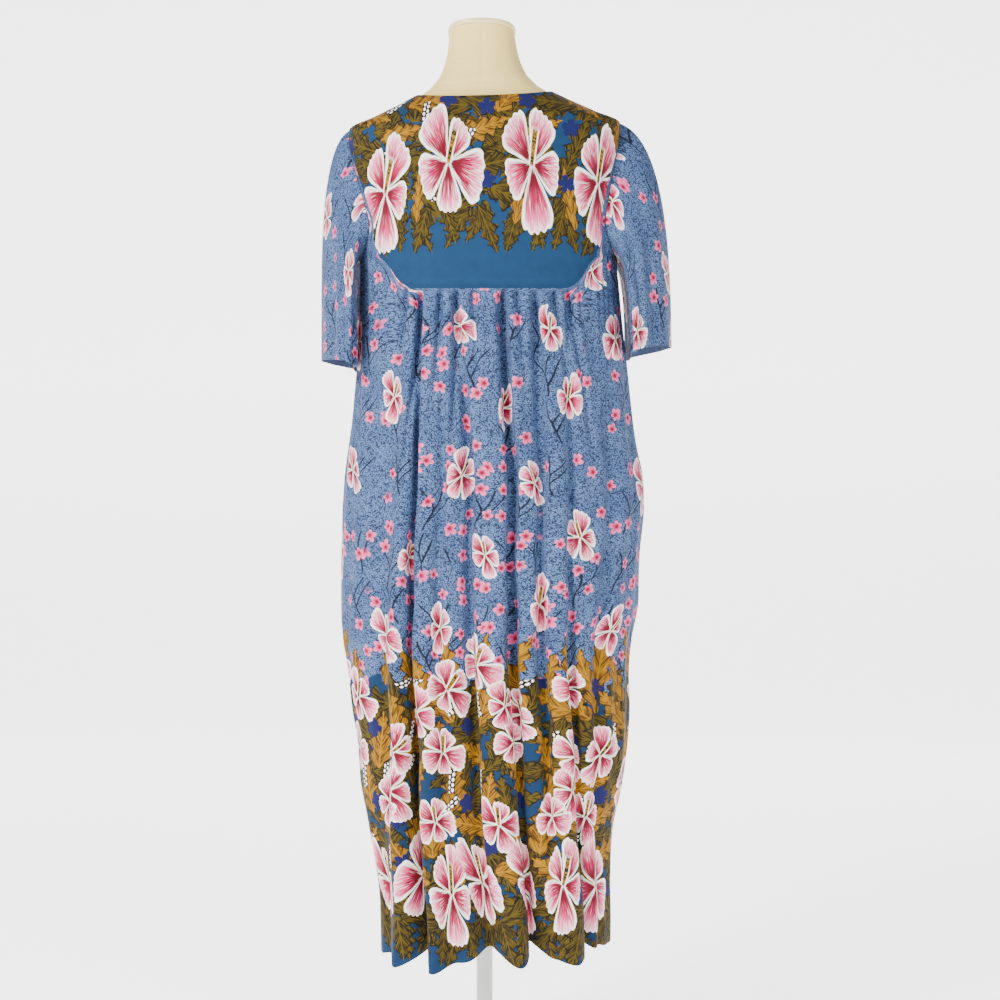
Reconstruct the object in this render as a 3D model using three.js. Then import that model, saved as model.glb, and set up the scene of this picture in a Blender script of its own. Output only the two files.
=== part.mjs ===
// A muumuu dress on a limbless dress form, in millimetres, +Z up.
// The origin is on the floor under the pole. The back of the dress faces -Y and the front +Y.
import * as THREE from "three";

// Cloth
const WALL = 1.5;
const SEAM_GAP = 0.3;

// Heights of the cut, the neckline's half width, and how far it dips below the neck points
const NECK_POINT_Z = 1519;
const NECK_HALF = 103;
const NECK_SPREAD_Z = 1370;
const SHOULDER_Z = 1470;
const UNDERARM_Z = 1262;
const NECK_DIP = { back: 15, front: 80 };
const HEM_Z = 208;
const HEM_TILT = 10;
const HEM_FOLLOWS_FOLD = 0.6;

// The shoulders stand a little higher on the right: rise for each mm of x, and where it applies
const SHOULDER_TILT = 0.028;
const TILT_RANGE = { start: 1240, full: 1450, ease: 1530, end: 1610 };

// Every level section is a rounded rectangle between an ellipse (2) and a box (large numbers)
const SQUARENESS = 2.2;

// Step between neighbours, as a share of a half section, where a direction is measured
const NEAR = 0.004;

// Inside of the dress: half width, depth to the back and to the front, and x of its middle
const DRESS = [
  { z: 170, half: 175, back: 143, front: 160, mid: 17 },
  { z: 243, half: 176.5, back: 143, front: 160, mid: 17 },
  { z: 290, half: 177.5, back: 144, front: 160, mid: 16 },
  { z: 351, half: 182.5, back: 146, front: 161, mid: 12 },
  { z: 398, half: 188.5, back: 148, front: 162, mid: 10 },
  { z: 460, half: 200.5, back: 150, front: 163, mid: 11 },
  { z: 522, half: 206.5, back: 151, front: 164, mid: 13 },
  { z: 575, half: 212.5, back: 152, front: 164, mid: 10 },
  { z: 635, half: 215.5, back: 152, front: 164, mid: 6 },
  { z: 677, half: 221, back: 152, front: 163, mid: 4 },
  { z: 739, half: 228, back: 152, front: 162, mid: 8 },
  { z: 801, half: 228.5, back: 151, front: 161, mid: 9 },
  { z: 879, half: 231, back: 149, front: 158, mid: 13.5 },
  { z: 920, half: 229.5, back: 147, front: 156, mid: 14.5 },
  { z: 989, half: 219.5, back: 141, front: 152, mid: 12.5 },
  { z: 1082, half: 209, back: 132, front: 146, mid: 12 },
  { z: 1150, half: 203, back: 126, front: 143, mid: 10 },
  { z: 1211, half: 199, back: 120, front: 140, mid: 8 },
  { z: 1262, half: 197, back: 118, front: 138, mid: 6 },
  { z: 1306, half: 198, back: 118, front: 136, mid: 5 },
  { z: 1350, half: 201, back: 117, front: 130, mid: 3 },
  { z: 1401, half: 205, back: 110, front: 114, mid: 1 },
  { z: 1440, half: 207.5, back: 100, front: 100, mid: 0 },
  { z: 1470, half: 208, back: 91, front: 90, mid: 0 },
  { z: 1485, half: 175.9, back: 86, front: 86, mid: 0 },
  { z: 1502, half: 139.4, back: 78, front: 80, mid: 0 },
  { z: 1519, half: 103, back: 70, front: 74, mid: 0 },
];

// Share of a level half section, from the middle to the side, that the cloth covers beside the arm
const ARMHOLE = [
  { z: 1262, share: 1 },
  { z: 1269, share: 0.87 },
  { z: 1284, share: 0.765 },
  { z: 1312, share: 0.69 },
  { z: 1355, share: 0.735 },
  { z: 1400, share: 0.81 },
  { z: 1438, share: 0.9 },
  { z: 1470, share: 1 },
];

// Heights at which the armhole edge has points, from the shoulder down
const ARMHOLE_LEVELS = [1470, 1438, 1400, 1355, 1312, 1284, 1269, 1262];

// The U-shaped yoke seam: its height at each share of the way from the middle to the armhole
const YOKE_SEAM = [
  { across: 0, z: 1210 },
  { across: 0.36, z: 1212 },
  { across: 0.43, z: 1220 },
  { across: 0.56, z: 1256 },
  { across: 0.87, z: 1300 },
  { across: 0.915, z: 1350 },
  { across: 0.94, z: 1395 },
  { across: 1, z: 1470 },
];

// Heights where the fold tables give a place and a depth
const FOLD_LEVELS = { yoke: 1190, hip: 894, knee: 505, hem: 200 };

// Folds: x from the dress's middle at each level, half width at the top and at the hem,
// and how far in (or, below zero, out) the cloth lies at each level
const BACK_FOLDS = [
  { x: [-124, -163, -164, -166], wide: [20, 20], deep: [3, 9, 10, 8] },
  { x: [-103, -119, -118, -111], wide: [11, 17], deep: [4, 14, 22, 42] },
  { x: [-74, -78, -71, -60], wide: [13, 13], deep: [3, 8, 6, 4] },
  { x: [-50, -35, -24, -6], wide: [15, 22], deep: [4, 18, 19, 34] },
  { x: [20, 32, 47, 66], wide: [11, 14], deep: [4, 15, 18, 40] },
  { x: [68, 77, 88, 96], wide: [14, 14], deep: [3, 12, 11, 3] },
  { x: [117, 121, 133, 143], wide: [12, 12], deep: [3, 9, 13, 28] },
  { x: [150, 177, 162, 160], wide: [14, 12], deep: [0, 8, 8, 8] },
  { x: [-112, -138, -140, -140], wide: [16, 16], deep: [0, -5, -7, -14] },
  { x: [-86, -98, -95, -86], wide: [13, 16], deep: [0, -6, -8, -20] },
  { x: [-10, 2, 14, 34], wide: [22, 18], deep: [0, -6, -8, -14] },
  { x: [95, 100, 111, 113], wide: [14, 20], deep: [0, -5, -7, -16] },
];
const FRONT_FOLDS = [
  { x: [-118, -160, -158, -150], wide: [18, 18], deep: [3, 9, 11, 16] },
  { x: [-84, -104, -100, -92], wide: [14, 18], deep: [4, 13, 18, 34] },
  { x: [-44, -52, -46, -38], wide: [14, 17], deep: [3, 12, 12, 16] },
  { x: [-8, -2, 6, 12], wide: [15, 20], deep: [4, 15, 19, 36] },
  { x: [40, 50, 58, 66], wide: [14, 16], deep: [3, 11, 10, 12] },
  { x: [82, 100, 106, 112], wide: [13, 17], deep: [4, 14, 18, 32] },
  { x: [118, 158, 160, 156], wide: [18, 16], deep: [3, 9, 10, 12] },
  { x: [-64, -78, -74, -66], wide: [15, 18], deep: [0, -6, -9, -18] },
  { x: [14, 24, 32, 40], wide: [15, 18], deep: [0, -6, -9, -16] },
  { x: [100, 130, 134, 134], wide: [15, 18], deep: [0, -5, -8, -14] },
];

// Tucks where the body is gathered into the yoke: x from the middle, depth and length
const BACK_TUCKS = [
  { x: -124, deep: 4, long: 45 },
  { x: -103, deep: 6, long: 90 },
  { x: -74, deep: 5, long: 55 },
  { x: -50, deep: 6, long: 85 },
  { x: -23, deep: 4, long: 40 },
  { x: 20, deep: 6, long: 95 },
  { x: 42, deep: 4, long: 50 },
  { x: 68, deep: 5, long: 80 },
  { x: 97, deep: 5, long: 45 },
  { x: 117, deep: 5, long: 70 },
];
const FRONT_TUCKS = [
  { x: -118, deep: 5, long: 60 },
  { x: -84, deep: 6, long: 85 },
  { x: -60, deep: 4, long: 45 },
  { x: -32, deep: 5, long: 75 },
  { x: -8, deep: 5, long: 55 },
  { x: 18, deep: 5, long: 80 },
  { x: 44, deep: 4, long: 45 },
  { x: 70, deep: 6, long: 85 },
  { x: 92, deep: 4, long: 50 },
  { x: 118, deep: 5, long: 70 },
];
const TUCK_HALF_WIDTH = 7;
const TUCK_START = 14;
const FOLD_START = 70;
const SIDE_STILLNESS = 10;

// Sides of the dress: which way they face, and how finely each piece is divided
const SIDES = {
  back: { faces: -1, folds: BACK_FOLDS, tucks: BACK_TUCKS, columns: 60, rows: 16, yokeRows: 8 },
  front: { faces: 1, folds: FRONT_FOLDS, tucks: FRONT_TUCKS, columns: 44, rows: 14, yokeRows: 8 },
};
const ROW_CROWDING = 1.5;
const COLUMN_CROWDING = 0.35;
const NECK_CROWDING = 2;
const MITRE_LIMIT = 0.4;

// Sleeves: outer and inner x of the hem, their heights, how far the cap stands out, and soft folds
const SLEEVES = [
  {
    name: "sleeve_left",
    side: -1,
    outer: 250,
    inner: 204,
    outerZ: 1109,
    innerZ: 1094,
    capOut: 48,
    capDrop: 0.53,
    folds: [{ at: 3.2, wide: 1.1, deep: 9 }, { at: 20, wide: 1.2, deep: 7 }],
  },
  {
    name: "sleeve_right",
    side: 1,
    outer: 287,
    inner: 228,
    outerZ: 1130,
    innerZ: 1112,
    capOut: 68,
    capDrop: 0.4,
    folds: [{ at: 4, wide: 1.2, deep: 8 }, { at: 19.5, wide: 1.2, deep: 8 }],
  },
];
const SLEEVE_DEPTH = 92;
const SLEEVE_BEND = 24;
const SLEEVE_ROWS = 8;
const SLEEVE_LEAD = { back: 34, under: 20 };
const SLEEVE_HANG = 0.5;
const SLEEVE_DROP = 0.65;
const UNDERARM_EASE = 1.5;
const UNDERARM_EASE_HEIGHT = 110;

// Dress form: half width, depth to the back and to the front, and x of its middle
const FORM = [
  { z: 836, half: 158, back: 108, front: 104, mid: 0 },
  { z: 880, half: 170, back: 118, front: 110, mid: 0 },
  { z: 930, half: 173, back: 120, front: 110, mid: 0 },
  { z: 990, half: 163, back: 108, front: 104, mid: 0 },
  { z: 1060, half: 139, back: 90, front: 96, mid: 0 },
  { z: 1130, half: 124, back: 82, front: 94, mid: 0 },
  { z: 1200, half: 136, back: 88, front: 108, mid: 0 },
  { z: 1270, half: 154, back: 98, front: 124, mid: 0 },
  { z: 1330, half: 166, back: 104, front: 122, mid: 0 },
  { z: 1390, half: 176, back: 102, front: 104, mid: 0 },
  { z: 1436, half: 183, back: 90, front: 90, mid: 0 },
  { z: 1462, half: 180, back: 82, front: 82, mid: 0 },
  { z: 1476, half: 171, back: 77, front: 77, mid: 0 },
  { z: 1488, half: 158, back: 71, front: 71, mid: 0 },
  { z: 1502, half: 138.4, back: 66, front: 68, mid: 0 },
  { z: 1519, half: 102, back: 62, front: 65, mid: 0 },
  { z: 1533, half: 82, back: 61, front: 66, mid: -1 },
  { z: 1554, half: 65, back: 55, front: 61, mid: -2 },
  { z: 1588, half: 54, back: 47, front: 58, mid: -3 },
  { z: 1616, half: 50.5, back: 43, front: 58, mid: -4 },
];
const FORM_SIDES = 28;
const NECK_TILT = 0.15;
const NECK_TILT_START_Z = 1540;
const CAP_THICKNESS = 9;
const CAP_DOME = 5;
const CAP_EDGE = 5;

// Stand
const POLE_RADIUS = 12.5;
const BASE_RADIUS = 190;
const BASE_THICKNESS = 12;
const BASE_EDGE = 5;
const HUB_RADIUS = 27;
const HUB_HEIGHT = 42;
const ROUND_SIDES = 32;

// Colours, roughness and metalness
const FINISH = {
  hibiscus: { color: 0x3e76a5, roughness: 0.85, metalness: 0 },
  squiggle: { color: 0x7692be, roughness: 0.85, metalness: 0 },
  linen: { color: 0xdccfae, roughness: 0.9, metalness: 0 },
  cap: { color: 0xd6c9a8, roughness: 0.45, metalness: 0 },
  stand: { color: 0xcfcfcd, roughness: 0.4, metalness: 0.6 },
};

const group = new THREE.Group();

/** Value between 0 and 1 that rises smoothly from start to end. */
function ramp(value, start, end) {
  return THREE.MathUtils.smoothstep(value, start, end);
}

/** A column of a table as a smooth function of another column, with no overshoot. */
function smoothColumn(rows, key, name) {
  const xs = rows.map((row) => row[key]);
  const ys = rows.map((row) => row[name]);
  const secants = xs.slice(1).map((x, i) => (ys[i + 1] - ys[i]) / (x - xs[i]));
  const slopes = ys.map((_, i) => {
    const before = secants[Math.max(i - 1, 0)];
    const after = secants[Math.min(i, secants.length - 1)];
    return before * after <= 0 ? 0 : (2 * before * after) / (before + after);
  });
  return (value) => {
    const x = THREE.MathUtils.clamp(value, xs[0], xs[xs.length - 1]);
    const i = Math.min(xs.findLastIndex((start) => start <= x), secants.length - 1);
    const step = xs[i + 1] - xs[i];
    const t = (x - xs[i]) / step;
    const bend = t * (1 - t) ** 2 * slopes[i] - t * t * (1 - t) * slopes[i + 1];
    return ys[i] + (ys[i + 1] - ys[i]) * t * t * (3 - 2 * t) + bend * step;
  };
}

/** The smooth columns of a table of level sections. */
function sectionsOf(rows) {
  const columns = ["half", "back", "front", "mid"];
  return Object.fromEntries(columns.map((name) => [name, smoothColumn(rows, "z", name)]));
}

const dress = sectionsOf(DRESS);
const form = sectionsOf(FORM);
const armholeShare = smoothColumn(ARMHOLE, "z", "share");
const yokeSeamZ = smoothColumn(YOKE_SEAM, "across", "z");

/** Point of a level section: share runs from -1 at the left side to 1 at the right side. */
function onSection(sections, side, share, z, out = 0) {
  const angle = (share * Math.PI) / 2;
  const power = 2 / SQUARENESS;
  const half = sections.half(z) + out;
  const depth = sections[side](z) + out;
  const x = Math.sign(share) * half * Math.abs(Math.sin(angle)) ** power;
  const y = SIDES[side].faces * depth * Math.abs(Math.cos(angle)) ** power;
  return new THREE.Vector3(sections.mid(z) + x, y, z);
}

/** Share of the half section at which a point of the dress has this x from the middle. */
function shareAt(x, z) {
  const reach = Math.min(Math.abs(x) / dress.half(z), 1);
  return (Math.sign(x) * 2 * Math.asin(reach ** (SQUARENESS / 2))) / Math.PI;
}

/** Top of a column: the neckline's height, and its share of the section there. */
function necklineAt(side, across) {
  const angle = (Math.sign(across) * (1 - (1 - Math.abs(across)) ** NECK_CROWDING) * Math.PI) / 2;
  const power = 2 / SQUARENESS;
  const z = NECK_POINT_Z - NECK_DIP[side] * Math.abs(Math.cos(angle)) ** power;
  const x = Math.sign(across) * NECK_HALF * Math.abs(Math.sin(angle)) ** power;
  return { z, share: shareAt(x, z) };
}

/** Share of the section for a column of cloth: drawn in beside the arm and towards the neckline. */
function columnShare(side, across, z) {
  const cut = z < UNDERARM_Z || z > SHOULDER_Z ? 0 : 1 - armholeShare(z);
  const top = necklineAt(side, across);
  const gather = (top.share - across) * ramp(z, NECK_SPREAD_Z, top.z);
  return across * (1 - cut * Math.abs(across)) + gather;
}

/** Value at height z between the four fold levels. */
function atFoldLevels(values) {
  const levels = Object.values(FOLD_LEVELS);
  const rows = levels.map((z, i) => ({ z, value: values[i] })).reverse();
  return smoothColumn(rows, "z", "value");
}

/** How far out the cloth lies from the plain section: folds, and tucks under the yoke seam. */
function foldOf(side, columns) {
  const { folds, tucks } = SIDES[side];
  const made = folds.map(({ x, wide, deep }) => ({ x: atFoldLevels(x), deep: atFoldLevels(deep), wide }));
  return (across, z) => {
    const below = yokeSeamZ(Math.abs(across)) - z;
    const share = columnShare(side, across, z);
    const perShare = 0.8 * (dress.half(z) + dress[side](z));
    const fall = ramp(-z, -FOLD_LEVELS.yoke, -FOLD_LEVELS.hem);
    const still = 1 - Math.abs(across) ** SIDE_STILLNESS;
    const bell = (x, wide) => Math.exp(-((((share - shareAt(x, z)) * perShare) / wide) ** 2));
    let out = 0;
    for (const { x, deep, wide } of made) {
      const width = wide[0] + (wide[1] - wide[0]) * fall;
      out -= deep(z) * bell(x(z), width) * ramp(below, 0, FOLD_START);
    }
    for (const { x, deep, long } of tucks) {
      const fade = ramp(below, 0, TUCK_START) * (1 - ramp(below, TUCK_START, long));
      out -= deep * fade * bell(x, columns > 0 ? TUCK_HALF_WIDTH : 0);
    }
    return out * still;
  };
}

/** Height of the hem: the cloth lifts where a fold lies in, and the right side hangs higher. */
function hemZ(fold, across) {
  return HEM_Z + HEM_TILT * across - HEM_FOLLOWS_FOLD * fold(across, HEM_Z);
}

/** Columns from -1 to 1, crowded a little towards the armholes. */
function columnsOf(count) {
  const even = Array.from({ length: count + 1 }, (_, i) => (2 * i) / count - 1);
  return even.map((t) => t * (1 + COLUMN_CROWDING - COLUMN_CROWDING * t * t));
}

/** Share of the way down a body panel's column at each row. */
function rowShares(across, rows, length) {
  const weight = Math.abs(across) ** 4;
  return Array.from({ length: rows + 1 }, (_, j) => {
    const middle = (j / rows) ** ROW_CROWDING;
    const last = ARMHOLE_LEVELS.length - 1;
    const armholeEnd = (SHOULDER_Z - UNDERARM_Z) / length;
    const below = armholeEnd + ((1 - armholeEnd) * (j - last)) / (rows - last);
    const edge = j <= last ? (SHOULDER_Z - ARMHOLE_LEVELS[j]) / length : below;
    return middle + (edge - middle) * weight;
  });
}

/** A point of the dress's inside with its seam gap at the sides. */
function clothPoint(side, across, z, out) {
  const point = onSection(dress, side, columnShare(side, across, z), z, out);
  point.y += (SIDES[side].faces * SEAM_GAP) / 2;
  return point;
}

/** Outward direction of the plain section, without folds, at a point of the cloth. */
function plainNormal(side, across, z) {
  const share = THREE.MathUtils.clamp(columnShare(side, across, z), -1 + NEAR, 1 - NEAR);
  const over = onSection(dress, side, share + NEAR, z).sub(onSection(dress, side, share - NEAR, z));
  const up = onSection(dress, side, share, z + 1).sub(onSection(dress, side, share, z - 1));
  const normal = over.cross(up).multiplyScalar(-SIDES[side].faces).normalize();
  return keepOnSeam(normal, across);
}

/** At a side edge, the wall's thickness stays in the plane of the seam. */
function keepOnSeam(normal, across) {
  if (Math.abs(across) === 1) {
    normal.y = 0;
  }
  return normal.normalize();
}

/** Outward directions of a grid of points, from the differences between neighbours. */
function gridNormals(points, outward, closed = false) {
  const last = points.length - 1;
  const next = (i) => (closed ? (i + 1) % points.length : Math.min(i + 1, last));
  const before = (i) => (closed ? (i + last) % points.length : Math.max(i - 1, 0));
  return points.map((column, i) =>
    column.map((point, j) => {
      const over = points[next(i)][j].clone().sub(points[before(i)][j]);
      const down = column[Math.min(j + 1, column.length - 1)].clone().sub(column[Math.max(j - 1, 0)]);
      const normal = over.cross(down).normalize();
      return normal.dot(outward(point)) < 0 ? normal.negate() : normal;
    }),
  );
}

/** Direction from the dress's middle line to a point, level. */
function fromMiddle(point) {
  return new THREE.Vector3(point.x - dress.mid(point.z), point.y, 0);
}

/** A point moved by the slope of the shoulders. */
function tilted(point) {
  const { start, full, ease, end } = TILT_RANGE;
  const weight = ramp(point.z, start, full) * (1 - ramp(point.z, ease, end));
  return new THREE.Vector3(point.x, point.y, point.z + SHOULDER_TILT * point.x * weight);
}

/** A geometry from points and triangles, turned inside out where its volume is below zero. */
function solidOf(straight, triangles) {
  const points = straight.map(tilted);
  const volume = triangles.reduce((sum, [a, b, c]) => {
    return sum + points[a].dot(points[b].clone().cross(points[c]));
  }, 0);
  const faces = volume < 0 ? triangles.map(([a, b, c]) => [a, c, b]) : triangles;
  const geometry = new THREE.BufferGeometry();
  const positions = points.flatMap((point) => point.toArray());
  geometry.setAttribute("position", new THREE.Float32BufferAttribute(positions, 3));
  geometry.setIndex(faces.flat());
  geometry.computeVertexNormals();
  return geometry;
}

/** A closed wall between a grid of inside points and the same points moved out. */
function wallOf(inside, normals, closed = false) {
  const wide = inside.length;
  const tall = inside[0].length;
  const inner = inside.flat();
  const outer = inside.flatMap((column, i) =>
    column.map((point, j) => point.clone().addScaledVector(normals[i][j], WALL)),
  );
  const at = (layer, i, j) => layer * wide * tall + (i % wide) * tall + j;
  const triangles = [];
  const quad = (a, b, c, d) => triangles.push([a, b, c], [a, c, d]);
  const spans = closed ? wide : wide - 1;
  for (let i = 0; i < spans; i += 1) {
    for (let j = 0; j < tall - 1; j += 1) {
      quad(at(0, i, j), at(0, i + 1, j), at(0, i + 1, j + 1), at(0, i, j + 1));
      quad(at(1, i, j), at(1, i, j + 1), at(1, i + 1, j + 1), at(1, i + 1, j));
    }
    quad(at(0, i, 0), at(1, i, 0), at(1, i + 1, 0), at(0, i + 1, 0));
    quad(at(0, i, tall - 1), at(0, i + 1, tall - 1), at(1, i + 1, tall - 1), at(1, i, tall - 1));
  }
  for (let j = 0; j < tall - 1 && !closed; j += 1) {
    quad(at(0, 0, j), at(0, 0, j + 1), at(1, 0, j + 1), at(1, 0, j));
    quad(at(0, wide - 1, j), at(1, wide - 1, j), at(1, wide - 1, j + 1), at(0, wide - 1, j + 1));
  }
  return solidOf([...inner, ...outer], triangles);
}

/** Seam points and directions of a side, with every second one on the chord of its neighbours. */
function seamLine(side, columns) {
  const points = columns.map((across) => clothPoint(side, across, yokeSeamZ(Math.abs(across)), 0));
  const normals = columns.map((across) => plainNormal(side, across, yokeSeamZ(Math.abs(across))));
  for (let i = 1; i < columns.length; i += 2) {
    points[i] = points[i - 1].clone().lerp(points[i + 1], 0.5);
    normals[i] = normals[i - 1].clone().add(normals[i + 1]).normalize();
  }
  return { points, normals };
}

/** A body panel: gathered into the yoke at its top, with its armhole edges, sides and hem. */
function bodyPanel(side) {
  const { columns: count, rows } = SIDES[side];
  const columns = columnsOf(count);
  const fold = foldOf(side, count);
  const seam = seamLine(side, columns);
  const points = columns.map((across, i) => {
    const top = yokeSeamZ(Math.abs(across));
    const bottom = hemZ(fold, across);
    return rowShares(across, rows, SHOULDER_Z - bottom).map((share, j) => {
      const z = top + (bottom - top) * share;
      return j === 0 ? seam.points[i] : clothPoint(side, across, z, fold(across, z));
    });
  });
  const normals = gridNormals(points, fromMiddle);
  columns.forEach((across, i) => {
    normals[i][0] = seam.normals[i];
    if (Math.abs(across) === 1) {
      normals[i] = points[i].map(({ z }) => plainNormal(side, across, z));
    }
  });
  return { points, normals };
}

/** A yoke: from the seam with the body panel up to the neckline and the shoulder seams. */
function yoke(side) {
  const { columns: count, yokeRows } = SIDES[side];
  const all = columnsOf(count);
  const seam = seamLine(side, all);
  const columns = all.filter((_, i) => i % 2 === 0);
  const middle = clothPoint(side, 0, (UNDERARM_Z + SHOULDER_Z) / 2, 0);
  const lower = columns.map((_, i) => {
    const before = seam.points[Math.max(2 * i - 2, 0)];
    const after = seam.points[Math.min(2 * i + 2, all.length - 1)];
    const here = seam.points[2 * i];
    const ahead = after === here ? here.clone().sub(before) : after.clone().sub(here);
    const behind = before === here ? ahead : here.clone().sub(before);
    const along = ahead.clone().normalize().add(behind.clone().normalize()).normalize();
    const inward = seam.normals[2 * i].clone().cross(along).normalize();
    const mitre = Math.max(along.dot(ahead.clone().normalize()), MITRE_LIMIT);
    const way = inward.dot(middle.clone().sub(here)) < 0 ? -1 : 1;
    return here.clone().addScaledVector(inward, (way * SEAM_GAP) / mitre);
  });
  const points = columns.map((across, i) => {
    const top = necklineAt(side, across).z;
    const bottom = lower[i].z;
    return Array.from({ length: yokeRows + 1 }, (_, j) => {
      const z = bottom + ((top - bottom) * j) / yokeRows;
      return j === 0 ? lower[i] : clothPoint(side, across, z, 0);
    });
  });
  const normals = gridNormals(points, fromMiddle);
  columns.forEach((across, i) => {
    normals[i][0] = seam.normals[2 * i];
    if (Math.abs(across) === 1) {
      normals[i] = points[i].map(({ z }) => plainNormal(side, across, z));
    }
  });
  return { points, normals };
}

/** Armhole edge of a panel, from the shoulder to the underarm: outside points and directions. */
function armholeEdge(panel, isLeft) {
  const edge = isLeft ? 0 : panel.points.length - 1;
  return ARMHOLE_LEVELS.map((z, j) => {
    const normal = panel.normals[edge][j];
    const ease = UNDERARM_EASE * ramp(-z, -UNDERARM_Z - UNDERARM_EASE_HEIGHT, -UNDERARM_Z);
    const off = WALL + SEAM_GAP + ease;
    return { point: panel.points[edge][j].clone().addScaledVector(normal, off), normal };
  });
}

/** The ring where a sleeve starts: round the armhole, just off the outside of the body. */
function armholeRing(panels, { side }) {
  const [backEdge, frontEdge] = [panels.back, panels.front].map((panel) => armholeEdge(panel, side < 0));
  const edge = [...backEdge, ...frontEdge.slice(1, -1).reverse()];
  for (const { point } of [edge[0], edge[ARMHOLE_LEVELS.length - 1]]) {
    point.y = 0;
  }
  const center = edge.reduce((sum, { point }) => sum.add(point), new THREE.Vector3()).divideScalar(edge.length);
  const ways = edge.map(({ point, normal }, k) => {
    const after = edge[(k + 1) % edge.length].point;
    const before = edge[(k + edge.length - 1) % edge.length].point;
    const way = normal.clone().cross(after.clone().sub(before)).normalize();
    return way.dot(point.clone().sub(center)) < 0 ? way.negate() : way;
  });
  const withHalfways = (line) => {
    return line.flatMap((vector, k) => [vector, vector.clone().lerp(line[(k + 1) % line.length], 0.5)]);
  };
  const normals = withHalfways(edge.map(({ normal }) => normal));
  return {
    points: withHalfways(edge.map(({ point }) => point)),
    normals: normals.map((normal) => normal.normalize()),
    ways: withHalfways(ways).map((way) => way.normalize()),
  };
}

/** A hanging sleeve: curves from the armhole ring down to a flat oval hem. */
function sleeve(panels, cut) {
  const ring = armholeRing(panels, cut);
  const count = ring.points.length;
  const power = 2 / SQUARENESS;
  const points = ring.points.map((start, k) => {
    const angle = (2 * Math.PI * k) / count;
    const under = (1 - Math.cos(angle)) / 2;
    const deep = Math.sign(Math.sin(angle)) * Math.abs(Math.sin(angle)) ** power;
    const wide = Math.sign(Math.cos(angle)) * Math.abs(Math.cos(angle)) ** power;
    const middle = (cut.outer + cut.inner) / 2;
    const reach = middle + ((cut.outer - cut.inner) / 2) * wide - SLEEVE_BEND * deep * deep;
    const low = cut.outerZ + (cut.innerZ - cut.outerZ) * under;
    const end = new THREE.Vector3(cut.side * reach, -SLEEVE_DEPTH * deep, low);
    const cap = new THREE.Vector3(cut.side, 0, -cut.capDrop).normalize().multiplyScalar(cut.capOut);
    const plain = ring.normals[k].clone().add(new THREE.Vector3(0, 0, -SLEEVE_DROP)).normalize();
    const turn = Math.abs(Math.sin(angle));
    const lead = SLEEVE_LEAD.under + (SLEEVE_LEAD.back - SLEEVE_LEAD.under) * turn;
    const toward = plain.multiplyScalar(lead).lerp(cap, Math.max(Math.cos(angle), 0) ** 2);
    const hang = new THREE.Vector3(0, 0, SLEEVE_HANG * (start.z - low));
    const curve = new THREE.CubicBezierCurve3(start, start.clone().add(toward), end.clone().add(hang), end);
    return Array.from({ length: SLEEVE_ROWS + 1 }, (_, j) => curve.getPoint(j / SLEEVE_ROWS));
  });
  const axis = points[0].map((_, j) => {
    const sum = points.reduce((total, column) => total.add(column[j]), new THREE.Vector3());
    return sum.divideScalar(count);
  });
  const outward = (rowPoints) => gridNormals(rowPoints, (point) => awayFrom(axis, point), true);
  const flat = outward(points);
  const folded = points.map((column, k) =>
    column.map((point, j) => {
      const inward = cut.folds.reduce((sum, { at, wide, deep }) => {
        return sum + deep * Math.exp(-(((k - at) / wide) ** 2));
      }, 0);
      return point.clone().addScaledVector(flat[k][j], -inward * ramp(j / SLEEVE_ROWS, 0, 1));
    }),
  );
  const normals = outward(folded);
  normals.forEach((column, k) => {
    column[0] = ring.ways[k];
  });
  return { points: folded, normals };
}

/** Direction from the nearest point of an axis line to a point. */
function awayFrom(axis, point) {
  const nearest = axis.reduce((best, center) => {
    return center.distanceTo(point) < best.distanceTo(point) ? center : best;
  });
  return point.clone().sub(nearest);
}

/** A closed body through level rings of points, with a fan at each end. */
function loftOf(rings) {
  const count = rings[0].length;
  const middle = (ring) => ring.reduce((sum, point) => sum.add(point), new THREE.Vector3()).divideScalar(count);
  const points = [...rings.flat(), middle(rings[0]), middle(rings[rings.length - 1])];
  const [low, high] = [points.length - 2, points.length - 1];
  const at = (row, k) => row * count + (k % count);
  const triangles = [];
  for (let k = 0; k < count; k += 1) {
    for (let row = 0; row < rings.length - 1; row += 1) {
      triangles.push([at(row, k), at(row, k + 1), at(row + 1, k + 1)]);
      triangles.push([at(row, k), at(row + 1, k + 1), at(row + 1, k)]);
    }
    triangles.push([low, at(0, k + 1), at(0, k)]);
    triangles.push([high, at(rings.length - 1, k), at(rings.length - 1, k + 1)]);
  }
  return solidOf(points, triangles);
}

/** Level ring of the form, larger or smaller by a margin, tilted forward near the neck. */
function formRing(z, margin = 0, lift = 0) {
  const tilt = NECK_TILT * ramp(z, NECK_TILT_START_Z, FORM[FORM.length - 1].z);
  return Array.from({ length: FORM_SIDES }, (_, k) => {
    const turn = (4 * k) / FORM_SIDES;
    const side = turn <= 1 || turn > 3 ? "back" : "front";
    const share = side === "back" ? (turn > 3 ? turn - 4 : turn) : 2 - turn;
    const point = onSection(form, side, share, z, margin);
    return point.add(new THREE.Vector3(0, 0, lift - tilt * point.y));
  });
}

/** The padded body of the form, with no arms, from its flat bottom to the top of the neck. */
function formBody() {
  return loftOf(FORM.map(({ z }) => formRing(z)));
}

/** The cap on the neck: a disc with a rounded edge and a low dome. */
function neckCap() {
  const top = FORM[FORM.length - 1].z;
  const rings = [
    { margin: -1, lift: SEAM_GAP },
    { margin: 2, lift: 2 },
    { margin: 2, lift: CAP_THICKNESS - 3 },
    { margin: 2 - CAP_EDGE, lift: CAP_THICKNESS },
    { margin: -26, lift: CAP_THICKNESS + CAP_DOME },
  ];
  return loftOf(rings.map(({ margin, lift }) => formRing(top, margin, lift)));
}

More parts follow.
